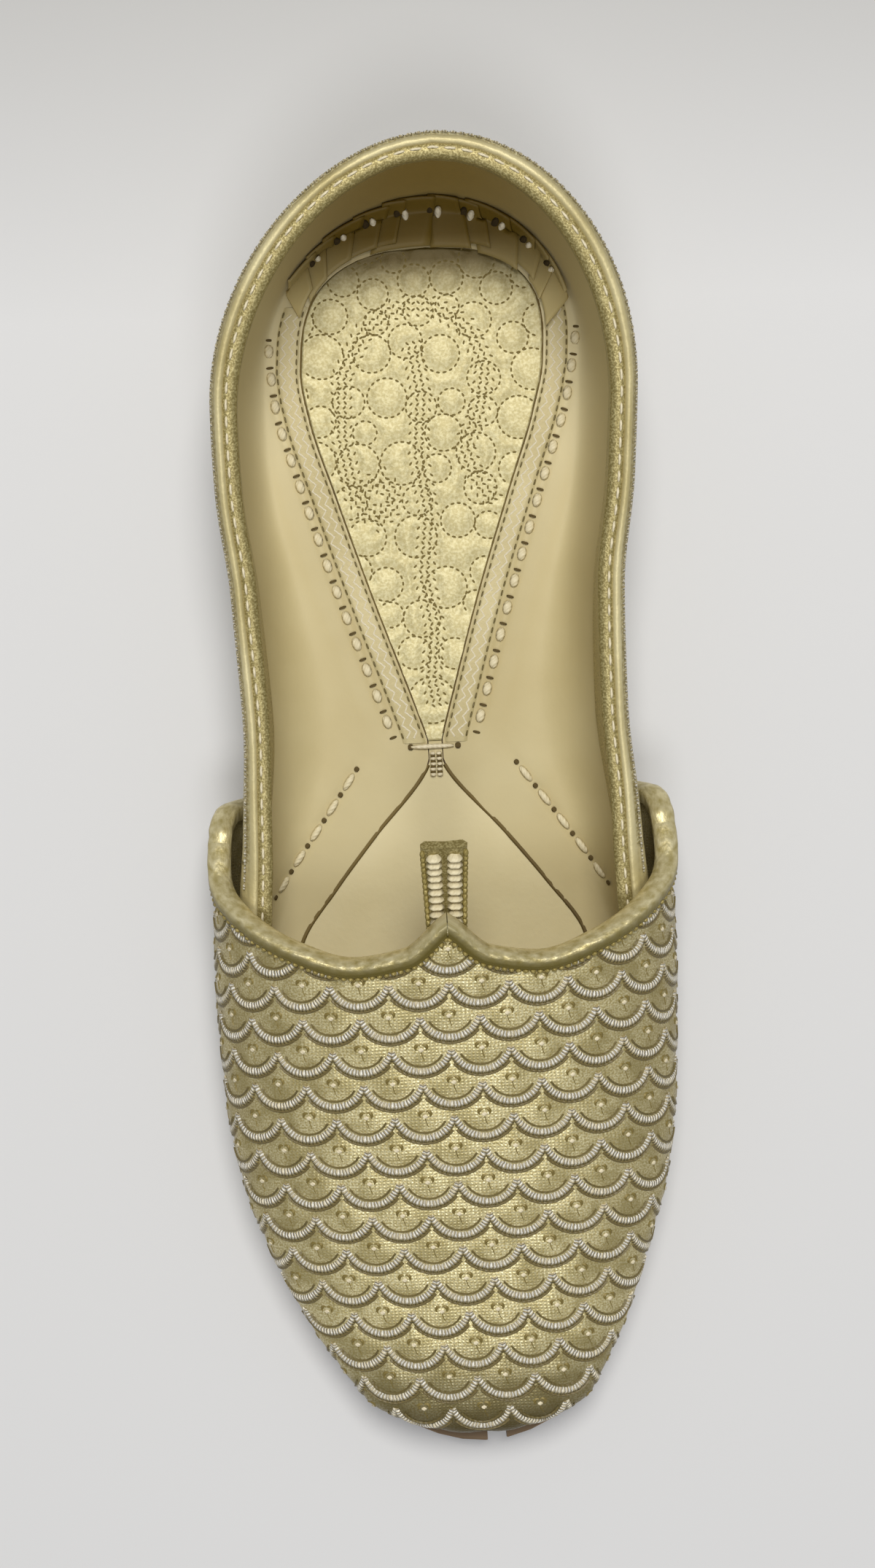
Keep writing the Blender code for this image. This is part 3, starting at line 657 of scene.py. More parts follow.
# painted shade: the band's dark olive stands for the shade on the collar's inner turn; the glitter is the
# leather's own
bandLeather = makeGlitter("bandLeather", "8A7C4A", "BBAE7A", 0.42, 0.4, 2600.0)
# painted shade: 6E5812 on the pleats at the back of the heel
pleatLeather = makeLining("pleatLeather", "C4B482", "B09E66", "BFAE78", 0.100, 0.113, "6E5812")
edgeLeather = makeLeather("edgeLeather", "75622F", "5E4C22", 0.7, 0.0)


# Upper: one hollow wall, lined inside and turned in over the insole
def spacing(stops):
    # Shares from 0 to 1, closer together towards both ends of each stretch.
    shares = [0.0]
    for end, count in stops:
        shares += list(shares[-1] + (end - shares[-1]) * np.linspace(0, 1, count + 1)[1:])
    return np.array(shares)


upperShares = spacing([
    (0.004, 2), (0.03, 5), (0.20, 22), (0.585, 44), (0.60, 4), (0.91, 26), (0.985, 12), (1.0, 10),
])
around = np.concatenate([upperShares, upperShares[-2:0:-1], upperShares[:1]])
sides = np.concatenate([np.ones(len(upperShares)), -np.ones(len(upperShares) - 1)])


# Seams that hold the lining down to the insole, as (station, distance from the centre line in mm)
seam = {
    "rear": [(0.118, 30.4), (0.14, 30.2), (0.168, 29.2), (0.188, 28.4), (0.25, 23.4), (0.32, 17.9),
             (0.38, 13.1), (0.434, 8.8), (0.446, 7.9)],
    "fore": [(0.460, 14.7), (0.50, 21.8), (0.54, 28.9), (0.575, 34.6)],
    # pitch, then length and half width of a stitch and of its hole
    "rearStitch": (5.5, 2.5, 0.9, 0.5, 0.75), "foreStitch": (6.0, 3.5, 0.68, 1.0, 0.5),
}
# Drawn-down groove at each seam and the fold beside it: first and last station, pitch and height in mm
pucker = {
    "rear": (0.15, 0.445, 5.0, 1.0), "fore": (0.452, 0.575, 6.0, 0.45),
    "groove": 0.5, "grooveWidth": 0.9, "ridge": 0.22, "ridgeWidth": 1.5, "away": 3.9,
}


def puckers(points):
    # The lining is drawn down at each seam and stands up in a soft fold beside it.
    station = stationOf(points[..., 1])
    half = np.abs(points[..., 0] - centreLine(station)) / mm
    rise = np.zeros(half.shape)
    for part in ("rear", "fore"):
        start, end, pitch, height = pucker[part]
        gap = half - np.interp(station, *np.array(seam[part]).T)
        fade = np.clip((station - start) / 0.02, 0, 1) * np.clip((end - station) / 0.015, 0, 1)
        ripple = 0.7 + 0.3 * np.cos(2 * math.pi * points[..., 1] / (pitch * mm))
        fold = pucker["ridge"] * height * np.exp(-((gap - pucker["away"]) / pucker["ridgeWidth"]) ** 2)
        rise += fade * (fold * ripple - pucker["groove"] * np.exp(-(gap / pucker["grooveWidth"]) ** 2))
    return rise * mm


def wallRun(along, side, grow, drop, lift, floorRows, lower, upper):
    # From the margin's edge over the floor and up the wall to its top edge.
    top = topLevel(along, grow, drop)
    edge = marginPoint(along, side, lift)
    foot = wallPoint(along, 0.0, side, grow, drop)
    rows = [edge + (foot - edge) * share for share in np.linspace(0, 1, floorRows)[:-1]]
    rows += [wallPoint(along, level, side, grow, drop) for level in np.linspace(0, 1, lower)]
    rows += [wallPoint(along, 1 + (top - 1) * share, side, grow, drop)
             for share in np.linspace(0, 1, upper)[1:]]
    return np.stack(rows)


insideRun = wallRun(around, sides, -last["wall"], -last["lip"], last["lip"], 24, 26, 14)
insideRun[1:48, :, 2] += puckers(insideRun[1:48])
outsideRun = wallRun(around, sides, 0.0, 0.0, 0.0, 4, 12, 16)
upperPoints = np.concatenate([insideRun, outsideRun[::-1], insideRun[:1]])
rimRow = len(insideRun) - 1
closed = np.minimum(around[:-1], around[1:]) >= last["liningClosed"]
skip = np.zeros((upperPoints.shape[0] - 1, upperPoints.shape[1] - 1), bool)
skip[rimRow] = closed
upperUV = np.stack(np.meshgrid(lengths(insideRun[rimRow]) / mm, np.arange(len(upperPoints)) * 1.5), -1)
lining = seat(bendSheet("lining", upperPoints, upperUV, [liningLeather], skip), "lining_leather", "upper")
print("lining", len(lining.data.polygons))


# Scale pattern of the embroidery, in millimetres on the unrolled surfaces
scale = {
    "width": 11.05, "pitch": 6.85, "radius": 5.62, "spread": 78, "first": -3.9,
    "satin": 0.95, "satinEnd": 0.55, "rise": 0.45, "outline": 0.95, "outlineRadius": 0.36,
    "inner": -1.28, "innerRadius": 0.2, "dome": 0.45,
}


def scaleCentre(row, u):
    shift = 0.5 if row % 2 else 0.0
    return (np.round(u / scale["width"] - shift) + shift) * scale["width"]


def scaleRise(u, v, rows):
    # Height of the padded ground: each scale rises towards its own edge and ends over the next.
    u, v = u / mm, v / mm
    height = np.zeros(u.shape)
    previous = np.full(u.shape, -1e3)
    for row in rows:
        beside = u - scaleCentre(row, u)
        bottom = scale["first"] + row * scale["pitch"] - scale["radius"]
        edge = bottom + np.sqrt(np.maximum(scale["radius"] ** 2 - beside ** 2, 0))
        inside = (v > previous) & (v <= edge)
        share = np.clip((v - previous) / np.maximum(edge - previous, 0.1), 0, 1)
        bulge = (1 - (beside / scale["radius"]) ** 2) * np.sin(share * math.pi) ** 0.7
        height = np.where(inside, 0.25 * share + scale["dome"] * bulge, height)
        previous = np.maximum(previous, edge)
    return height * mm


def arc(u, bottom, offset=0.0, halfTurn=scale["spread"], count=25):
    radius = scale["radius"] + offset
    limit = math.radians(halfTurn)
    turn = np.linspace(-limit, limit, count)
    return (u + radius * np.sin(turn)) * mm, (bottom + offset - radius * (1 - np.cos(turn))) * mm


# Motif on each scale: two petals round a bead, over a short stem. The lists are half widths.
motif = {
    "below": 5.0, "lean": 0.2, "petal": [0.15, 0.27, 0.36, 0.38, 0.3, 0.15], "petalTurn": (-0.4, 2.2),
    "petalPlace": (0.4, -0.1), "petalSize": (0.65, 0.7), "stem": [0.2, 0.16, 0.12, 0.08],
    "stemBend": [0, 0.1, 0.25, 0.5], "stemRun": (0.6, 2.4), "bead": [0.15, 0.48, 0.15],
}


def motifStrands(centre, bottom):
    middle = bottom - motif["below"]
    place = centre + noise.normal(0, motif["lean"])
    turn = np.linspace(*motif["petalTurn"], len(motif["petal"]))
    strands = []
    for side in (-1, 1):
        u = place + side * (motif["petalPlace"][0] + motif["petalSize"][0] * np.sin(turn))
        v = middle + motif["petalPlace"][1] - motif["petalSize"][1] * np.cos(turn)
        strands.append((u * mm, v * mm, 0.5 * mm, np.array(motif["petal"]) * mm, 0.24 * mm))
    u, v = place + np.array(motif["stemBend"]), middle + np.linspace(*motif["stemRun"], len(motif["stem"]))
    strands.append((u * mm, v * mm, 0.5 * mm, np.array(motif["stem"]) * mm, 0.18 * mm))
    bead = ((place + 0.48 * np.array([-1, 0, 1])) * mm, np.full(3, middle + 0.25) * mm, 0.6 * mm,
            np.array(motif["bead"]) * mm, np.array([0.1, 0.35, 0.1]) * mm)
    return strands, bead


def scaleStrands(rows, halfSpan):
    uneven = np.random.default_rng(7)
    swell = 1 - np.abs(np.linspace(-1, 1, 25)) ** 2.5
    satinBands, outlines, lines, motifs, beads = [], [], [], [], []
    for row in rows:
        bottom = scale["first"] + row * scale["pitch"]
        shift = 0.5 if row % 2 else 0.0
        for place in np.arange(-halfSpan, halfSpan + 1):
            centre = (place + shift) * scale["width"]
            width = scale["satinEnd"] + (scale["satin"] - scale["satinEnd"]) * swell
            width = width * uneven.uniform(0.84, 1.14, 25) * mm
            rise = scale["rise"] * (0.75 + 0.25 * swell) * mm
            satinBands.append((*arc(centre, bottom), 0.3 * mm, width, rise))
            # painted shadow: a dark olive strand along the toe side of the satin band, under it
            outlines.append((*arc(centre, bottom, scale["outline"], 52, 9), 0.3 * mm,
                             scale["outlineRadius"] * mm, 0.35 * mm))
            lines.append((*arc(centre, bottom, scale["inner"], 62, 9), 0.5 * mm, scale["innerRadius"] * mm,
                          0.3 * mm))
            strands, bead = motifStrands(centre, bottom)
            motifs += strands
            beads.append(bead)
    return satinBands, outlines, lines, motifs, beads


# Vamp: embroidered shell over the forepart, with a wing along each side of the waist
vamp = {
    "grow": last["fit"] + last["vampWall"], "sections": 240, "samples": 110, "border": 0.8,
    "firstStation": 0.468, "lastStation": 0.998, "lowest": 0.2, "hem": 0.003, "clear": 1.2 * mm,
}


def onVamp(along, level, side=1, grow=vamp["grow"]):
    return wallPoint(along, level, side, grow, grow, True)


def vampRow(y, level):
    back, tip = reach(level, vamp["grow"])
    return onVamp(np.clip((y - back) / (tip - back), 0, 1), level)


def ridgeLevel(y):
    # The highest level that the vamp has at a place along the shoe: it sinks round the toe.
    levels = np.linspace(2, 1, 400)
    return np.interp(-y, -reach(levels, vamp["grow"])[1], levels, left=2.0)


def acrossVamp(station, level, samples=40):
    # How far a place lies from the ridge, along the section at its station.
    y = placeOf(station)
    top = ridgeLevel(y)
    level = np.minimum(level, top)
    points = vampRow(y[..., None], top[..., None] + (level - top)[..., None] * np.linspace(0, 1, samples))
    return np.linalg.norm(np.diff(points, axis=-2), axis=-1).sum(-1)


def otherSide(points, station):
    other = points.copy()
    other[..., 0] = 2 * centreLine(station) - points[..., 0]
    return other


def vampTable():
    # The vamp from its ridge down to both sides, in even steps along the shoe.
    stations = np.linspace(vamp["firstStation"], vamp["lastStation"], vamp["sections"])
    y = placeOf(stations)
    top = ridgeLevel(y)[:, None]
    level = top + (vamp["lowest"] - top) * np.linspace(0, 1, vamp["samples"])[None, :]
    right = vampRow(y[:, None], level)
    left = otherSide(right, stations[:, None])
    across = np.stack([lengths(row) for row in right])
    extra = np.stack([np.broadcast_to(stations[:, None], level.shape), level], -1)
    left, full = (np.concatenate([half, extra], -1) for half in (left, right))
    along = lengths(right[:, 0])
    along = along - np.interp(throat[0][1], stations, along)
    places = np.concatenate([-across[:, :0:-1], across], 1)
    table = unroll(np.concatenate([left[:, :0:-1], full], 1), places, along)
    station, height = table["values"][..., 3], table["values"][..., 4]
    down = np.where(height >= 1, 2 - height, 1 + (1 - height) / (1 - vamp["lowest"]))
    clear = table["points"][..., 2] - footLine(station)
    border = np.clip((station - 0.60) / 0.10, 0, 1) * vamp["border"]
    table["inside"] &= (station > throatStation(down) + vamp["hem"]) & (clear > vamp["clear"])
    table["inside"] &= height > border
    rows, columns = table["inside"].shape
    table["normals"] = turnedTo(table["normals"], (rows // 2, columns // 2))
    return table, stations, along


vampSurface, vampStations, vampAlong = vampTable()
print("vamp table", vampSurface["inside"].shape)


def bothSides(left, right):
    return np.concatenate([left, right[:, -2::-1]], 1)


def makeVamp():
    # The vamp's gold tissue, padded under each scale, with its lining as one closed skin.
    downs = np.concatenate([np.linspace(0, 1, 76), np.linspace(1, 2, 22)[1:]])
    shares = np.concatenate([np.linspace(0, 1, 96), np.ones(30)])
    toe = 1 - (1 - last["toeStart"]) * (1 - np.linspace(0, 1, 31)[1:]) ** 1.6
    down, share = np.meshgrid(downs, shares, indexing="ij")
    end = np.broadcast_to(np.concatenate([np.full(96, last["toeStart"]), toe]), share.shape)

    def sheet(grow):
        along, level = vampPlace(down, share, end, grow)
        left, right = (onVamp(along, level, side, grow) for side in (-1, 1))
        return level, right, bothSides(left, right)

    inner = sheet(last["fit"])[2]
    level, right, outer = sheet(vamp["grow"])
    station = stationOf(right[..., 1])
    u = acrossVamp(station, level)
    v = np.interp(station, vampStations, vampAlong)
    rise = scaleRise(u, v, range(-6, 20))
    rise = rise * np.clip(share * 22, 0, 1) * np.clip((2 - down) * 6, 0, 1)
    outer = outer + turnedTo(gridNormals(outer), (40, 30)) * bothSides(rise, rise)[..., None]
    uv = np.stack([bothSides(-u, u), bothSides(v, v)], -1) / mm
    points = np.concatenate([outer, inner[:, ::-1], outer[:, :1]], 1)
    uv = np.concatenate([uv, uv[:, ::-1], uv[:, :1]], 1)
    return bendSheet("vampCover", points, uv, [tissue], merge=2e-5, angle=60)


vampCover = seat(makeVamp(), "embroidery", "vamp")
print("vamp", len(vampCover.data.polygons))

satinBands, outlines, lines, motifs, beads = scaleStrands(range(-6, 17), 6)


def embroider(prefix, table, parts):
    for part, strands, ring, material in parts:
        piece = seat(threads(prefix + part, table, strands, ring, material), "embroidery")
        print(prefix + part, len(piece.data.polygons))


embroider("vamp", vampSurface, [
    ("Satin", satinBands, satinRing, satin), ("SatinShadows", outlines, triRing, outlineThread),
    ("Lines", lines, triRing, fineThread), ("Motifs", motifs, triRing, motifThread),
    ("Beads", beads, roundRing, creamThread),
])


# Quarters: the upper's outside, embroidered up to the collar
quarter = {"end": 0.56, "coverEnd": 0.53, "stitchedTo": 0.50, "lowest": 0.02, "clear": 1.0 * mm,
           "below": 3.2 * mm}


def quarterTable():
    shares = np.linspace(0, quarter["end"], 150)
    top = levelAt(shares, rimHeight)
    level = top[:, None] + (quarter["lowest"] - top[:, None]) * np.linspace(0, 1, 90)[None, :]
    right = wallPoint(shares[:, None], level, 1)
    across = np.stack([lengths(row) for row in right])
    along = lengths(wallPoint(shares, 1.0, 1))
    station = stationOf(right[..., 1])
    rows = [np.concatenate([half, station[..., None]], -1) for half in (otherSide(right, station), right)]
    table = unroll(np.concatenate([rows[0][:0:-1], rows[1]]), np.concatenate([across[:0:-1], across]),
                   np.concatenate([-along[:0:-1], along]))
    clear = table["points"][..., 2] - footLine(table["values"][..., 3])
    below = table["u"] + np.arange(table["inside"].shape[1]) * table["step"]
    table["inside"] &= (table["values"][..., 3] < quarter["stitchedTo"]) & (clear > quarter["clear"])
    table["inside"] &= below[None, :] > quarter["below"]
    table["normals"] = turnedTo(table["normals"], (table["inside"].shape[0] // 2, 40), 1)
    return table


quarterSurface = quarterTable()


def makeQuarters():
    # The gold tissue that the quarters are covered with, a little padded under each scale.
    points, normals, station = (quarterSurface[key][::2, ::2] for key in ("points", "normals", "values"))
    station = station[..., 3]
    count, width = quarterSurface["inside"].shape
    step = quarterSurface["step"]
    down, around = np.meshgrid(quarterSurface["u"] + np.arange(0, width, 2) * step,
                               quarterSurface["v"] + np.arange(0, count, 2) * step)
    keep = np.clip((down - quarter["below"]) / (1.5 * mm), 0, 1)
    hem = np.interp(down / mm, [0, 0.3, 1.0, 2.6, 3.6, 4.6], [0.75, 1.25, 1.6, 1.55, 0.8, 0.2]) * mm
    rise = hem + keep * scaleRise(around, down, range(-1, 10)) * 0.8
    ok = (points[..., 2] > footLine(station) + 0.05 * mm) & (station < quarter["coverEnd"])
    skip = ~(ok[:-1, :-1] & ok[1:, :-1] & ok[:-1, 1:] & ok[1:, 1:])
    uv = np.stack([around, down], -1) / mm
    return bendSheet("quarters", points + normals * rise[..., None], uv, [tissue], skip, merge=1e-7, angle=60)


quarters = seat(makeQuarters(), "embroidery")
print("quarters", len(quarters.data.polygons))
satinBands, outlines, lines, motifs, beads = scaleStrands(range(1, 9), 14)
satinBands, outlines, beads = (
    [(v, u, *rest) for u, v, *rest in strands] for strands in (satinBands, outlines, beads))
embroider("quarter", quarterSurface, [
    ("Satin", satinBands, satinRing, satin), ("SatinShadows", outlines, triRing, outlineThread),
    ("Beads", beads, triRing, creamThread),
])


# Collar binding: a gold piping and a glittering band, folded over the top edge; the band's darker olive is
# painted shade
collar = {
    "outerTurn": 3.0, "innerTurn": 8.0, "end": 0.572, "piping": 0.72, "pipingHeight": 0.35,
    "stitch": (2.1, 3.1, 0.26, 0.22), "rimStitch": (1.3, 1.6, 0.3, 0.2),
}


def collarPoint(along, side, height, grow):
    level = levelAt(along, lambda station: rimHeight(station) + height, grow)
    return wallPoint(along, level, side, grow)


def collarProfile():
    # Rows of (height above the rim, distance outside the last) in millimetres, and where the band
    # starts and ends in it.
    outer, inner = 1.3, -3.3
    middle = 0.05
    profile = [(-collar["outerTurn"], outer - 0.5), (-collar["outerTurn"], outer), (-2.2, outer + 0.05),
               (-1.2, outer), (-0.3, outer - 0.35)]
    for turn in np.radians([0, 25, 50, 75, 100, 125, 150]):
        profile.append((collar["pipingHeight"] + collar["piping"] * math.sin(turn),
                        middle + collar["piping"] * math.cos(turn)))
    piped = len(profile)
    profile += [(0.4, -0.75), (0.58, -1.0), (0.66, -1.4), (0.66, -1.9), (0.58, -2.4), (0.3, -3.0),
                (-0.2, inner - 0.05), (-1.0, inner - 0.1), (-2.5, inner), (-4.5, inner), (-6.5, inner),
                (-7.8, inner)]
    banded = len(profile)
    profile += [(-collar["innerTurn"], inner + 0.4), (-4.0, inner + 0.8), (0, inner + 0.9), (0.1, -1.0),
                (-0.3, 0.3), (-1.8, outer - 0.8)]
    return profile + profile[:1], piped, banded


def makeCollar():
    profile, piped, banded = collarProfile()
    end = alongAt(collar["end"], 1.0, 0.0)
    shares = np.concatenate([[0, 0.002, 0.006, 0.012], np.linspace(0.02, end, 150)])
    along = np.concatenate([shares[::-1], shares[1:]])
    side = np.concatenate([-np.ones(len(shares)), np.ones(len(shares) - 1)])
    deeper = 1 + 0.9 * np.interp(along, [0.12, 0.36], [0, 1])  # the band reaches lower at the waist
    points = []
    for height, grow in profile:
        inBand = grow < -2.4 and height < -0.5
        points.append(collarPoint(along, side, height * mm * (deeper if inBand else 1), grow * mm))
    points = np.stack(points)
    uv = np.stack(np.meshgrid(lengths(points[6]) / mm, np.arange(len(points)) * 1.0), -1)
    zones = np.zeros(len(points) - 1, int)
    zones[piped:banded] = 1
    normals = turnedTo(gridNormals(points), (8, 20))
    piece = bendSheet("collarBinding", points, uv, [pipingLeather, bandLeather], angle=50, zones=zones)
    return piece, points[piped + 2], normals[piped + 2]


collarBinding, stitchPath, stitchNormals = makeCollar()
seat(collarBinding, "gold_binding", "collar_binding")


stitches("collarStitches", stitchPath, stitchNormals, collar["stitch"], creamThread, 0.1)
rimAlong = alongAt(0.545, 1.0, 0.0) * np.linspace(-1, 1, 400) ** 3
rimPlace = collarPoint(np.abs(rimAlong), np.sign(rimAlong), -0.35 * mm, 1.15 * mm)
rimOutward = rimPlace - collarPoint(np.abs(rimAlong), np.sign(rimAlong), -1.2 * mm, 0.2 * mm)
stitches("rimStitches", rimPlace, rimOutward, collar["rimStitch"], satin, 0.3, 0.3)
print("collar")


# Throat rolls: padded gold leather folded over the vamp's edge
roll = {"nose": 1.2 * mm, "swell": 0.4 * mm, "outer": 1.9 * mm, "inner": 2.0 * mm, "hem": 0.8 * mm,
        "rows": 190, "wrinkle": 0.05 * mm, "stitch": (1.15, 1.35, 0.42, 0.36)}


def throatPoint(side):
    return onVamp(alongAt(throatStation(0.0), 2.0, vamp["grow"]), 2.0, side)


def throatFrame(down, side):
    # Places along the throat's edge, with the directions along it, into the vamp and off it.
    step = 0.004

    def at(down, share):
        return onVamp(*vampPlace(down, share, last["toeStart"], vamp["grow"]), side)

    def part(vector, direction):
        return direction * (vector * direction).sum(-1, keepdims=True)

    place = at(down, 0.0)
    run = unit(at(down - step, 0.0) - at(down + step, 0.0))
    inward = at(down, 0.02) - place
    outward = unit(np.cross(run, inward)) * side
    return place, unit(inward - part(inward, run) - part(inward, outward)), outward


def rollProfile():
    gap, binding, wall = last["gap"], last["binding"], last["vampWall"]
    middle, bulge = -wall / 2, wall / 2 + gap + binding
    shape = [(roll["outer"] + 0.1 * mm, gap * 0.2), (roll["outer"], gap + roll["hem"]),
             (roll["outer"] * 0.75, gap + binding + roll["swell"] * 0.3),
             (roll["outer"] * 0.45, gap + binding + roll["swell"] * 0.7)]
    for degrees in range(100, -96, -15):
        turn = math.radians(degrees)
        swell = roll["swell"] * max(0.0, math.sin(turn)) ** 0.5
        shape.append((-roll["nose"] * math.cos(turn), middle + (bulge + swell) * math.sin(turn)))
    shape += [(roll["inner"] * 0.6, -wall - gap - binding), (roll["inner"], -wall - gap - roll["hem"]),
              (roll["inner"], -wall - 0.1 * mm)]
    return np.array(shape)


def makeRoll(name, side):
    profile = rollProfile()
    downs = np.concatenate([np.linspace(1.72, 0.9, roll["rows"] // 2),
                            np.linspace(0.9, 0.012, roll["rows"])[1:]])
    place, inward, outward = throatFrame(downs, side)
    along = lengths(place)
    ripple = np.interp(along, np.linspace(0, along[-1], 60), noise.normal(0, 1, 60)) * roll["wrinkle"]
    points = place[:, None] + inward[:, None] * profile[None, :, :1] + outward[:, None] * profile[None, :, 1:]
    raised = np.clip(profile[:, 1] / mm, 0, 1)
    points = points + outward[:, None] * ripple[:, None, None] * raised[None, :, None]
    apex = throatPoint(side)
    forward = unit(apex - place[-1])
    mitre = apex[0] + side * last["gap"] * 0.3
    final = points[-1] + forward * ((mitre - points[-1][:, 0]) / forward[0])[:, None]
    points = np.concatenate([points, final[None]])
    points = np.concatenate([points, points[:, :1]], 1)
    uv = np.stack(np.meshgrid(np.arange(points.shape[1]) * 0.8, np.append(along, along[-1]) / mm), -1)
    return bendSheet(name, points, uv, [rollLeather], angle=50), place, inward, outward


for side, name in ((-1, "Left"), (1, "Right")):
    piece, place, inward, outward = makeRoll("throatRoll" + name, side)
    seat(piece, "gold_binding", "throat_binding_" + name.lower())
    path = place + inward * (roll["outer"] + 0.25 * mm) + outward * (last["gap"] + 0.5 * mm)
    stitches("throatRoll%sStitches" % name, path, outward, roll["stitch"], oliveThread, 0.12,
             slot="gold_binding")
print("throat rolls")


# Throat tab: two ribs of looped thread between edge cords
tab = {"length": 20.5 * mm, "root": 4 * mm, "drop": 1.6 * mm, "rootWidth": 6.9 * mm, "endWidth": 8.6 * mm,
       "thick": 2.6 * mm, "rootAngle": 8, "endAngle": 44,
       "loop": (1.35, 1.55, 1.45, 0.9), "edge": (1.6, 1.25, 0.5, 0.6)}


def tabLine():
    apex = throatPoint(1)
    depth = last["vampWall"] + 2 * last["gap"] + last["binding"] + tab["thick"] / 2 + tab["drop"]
    place = np.array([apex[0], apex[1] - tab["root"], apex[2] - depth])
    places, above = [place], []
    steps = 36
    for step in range(steps + 1):
        angle = math.radians(tab["rootAngle"] + (tab["endAngle"] - tab["rootAngle"]) * step / steps)
        above.append((0, -math.sin(angle), math.cos(angle)))
        places.append(places[-1] + np.array([0, math.cos(angle), math.sin(angle)]) * tab["length"] / steps)
    return np.array(places[:-1]), np.array(above)


tabPlaces, tabAbove = tabLine()
tabShare = np.linspace(0, 1, len(tabPlaces))
tabHalf = (tab["rootWidth"] + (tab["endWidth"] - tab["rootWidth"]) * tabShare) / 2
tabProfile = np.array([
    (-1, -0.2), (-0.97, 0.1), (-0.86, 0.2), (-0.5, 0.26), (-0.14, 0.16), (0, 0.05), (0.14, 0.16), (0.5, 0.26),
    (0.86, 0.2), (0.97, 0.1), (1, -0.2), (0.8, -0.5), (0, -0.4), (-0.8, -0.5), (-1, -0.2)])
tabBody = (tabPlaces[:, None] + np.array([1, 0, 0]) * (tabHalf[:, None] * tabProfile[None, :, 0])[..., None]
           + tabAbove[:, None] * (tab["thick"] * tabProfile[:, 1])[None, :, None])
caps = np.stack([np.broadcast_to(tabBody[i].mean(0), tabBody[i].shape) for i in (0, -1)])
tabBody = np.concatenate([caps[:1], tabBody, caps[1:]])
tabUV = np.stack(np.meshgrid(np.arange(tabBody.shape[1]) * 1.0, np.arange(len(tabBody)) * 0.5), -1)
seat(bendSheet("throatTab", tabBody, tabUV, [bandLeather], angle=50), "stitched_cord", "throat_tab")


def tabPath(across, lift, start=0.0, end=1.0, count=60):
    share = np.linspace(start, end, count)
    place, above = (followed(share, tabShare, path) for path in (tabPlaces, tabAbove))
    half = np.interp(share, tabShare, tabHalf)
    return place + np.array([1, 0, 0]) * (half * across)[:, None] + above * lift, above


for side, name in ((-1, "Left"), (1, "Right")):
    path, above = tabPath(side * 0.45, 0.26 * tab["thick"], 0.12, 0.985)
    stitches("tabLoops" + name, path, above, tab["loop"], seamThread, 0.3)
    path, above = tabPath(side * 0.93, 0.16 * tab["thick"], 0.05, 1.0)
    stitches("tabEdge" + name, path, above, tab["edge"], oliveThread, 0.1, 0.2)
print("tab")


# Inside of the shoe, as a surface over the plan: u across from the centre line, v along the shoe
def floorTable():
    y = np.linspace(-100, 119, 220) * mm
    station = stationOf(y)
    top = footLine(station)
    edge = marginEdge(station)
    levels = np.linspace(0, 1.0, 30)
    back, tip = reach(levels, -last["wall"])
    along = np.clip((y[:, None] - back) / (tip - back), 0, 1)
    wall = wallPoint(along, levels[None, :], 1, -last["wall"], -last["lip"])
    x = wall[..., 0] - centreLine(stationOf(wall[..., 1]))
    x = np.maximum.accumulate(x, axis=1) + np.arange(30) * 1e-6
    z = wall[..., 2]
    flat = np.minimum(edge, x[:, 0] - 0.4 * mm)
    firsts = np.stack([0 * flat, flat * 0.5, np.maximum(flat - 0.05 * mm, 0), flat], 1)
    heights = np.stack([top + last["sock"]] * 3 + [top + last["lip"]], 1)
    half = np.concatenate([firsts, x], 1) + np.arange(34) * 1e-7
    height = np.concatenate([heights, z], 1)
    half = np.concatenate([-half[:, :0:-1], half], 1)
    height = np.concatenate([height[:, :0:-1], height], 1)
    centre = centreLine(station)[:, None]
    depth = np.broadcast_to(y[:, None], half.shape)
    lines = np.stack([half + centre, depth, height], -1)
    return unroll(lines, half, y)


floorSurface = floorTable()
floorSurface["normals"] = turnedTo(floorSurface["normals"], (200, 80))


def floorPath(u, v, lift=0.0):
    place, normal, _ = onTable(floorSurface, np.asarray(u, float), np.asarray(v, float))
    return place + normal * lift, normal


# Thick cream stitches along the seams, each beside the dark hole that it dives into
def seamPath(part, side):
    stations, halves = np.array(seam[part]).T
    dense = np.linspace(stations[0], stations[-1], 90)
    return side * np.interp(dense, stations, halves) * mm, placeOf(dense)


for side, name in ((-1, "Left"), (1, "Right")):
    for part in ("fore", "rear"):
        path, normal = floorPath(*seamPath(part, side))
        pitch, length, width, holeLength, holeWidth = seam[part + "Stitch"]
        stitches(part + name + "Seam", path, normal, (length, pitch, width, 0.38), seamThread, 0.25, 0.6)
        stitches(part + name + "Holes", path, normal, (holeLength, pitch, holeWidth, 0.12), darkHole, 0.12,
                 0.0, -0.7 - holeLength)


# Strips beside the quilted sock, embroidered with zigzags
strip = {"start": 0.100, "end": 0.4475, "width": 4.6, "away": 0.25, "thick": 0.25, "swing": 0.62,
         "pitch": 1.3, "seamGap": 1.2, "stitch": (1.2, 1.9, 0.17, 0.16)}


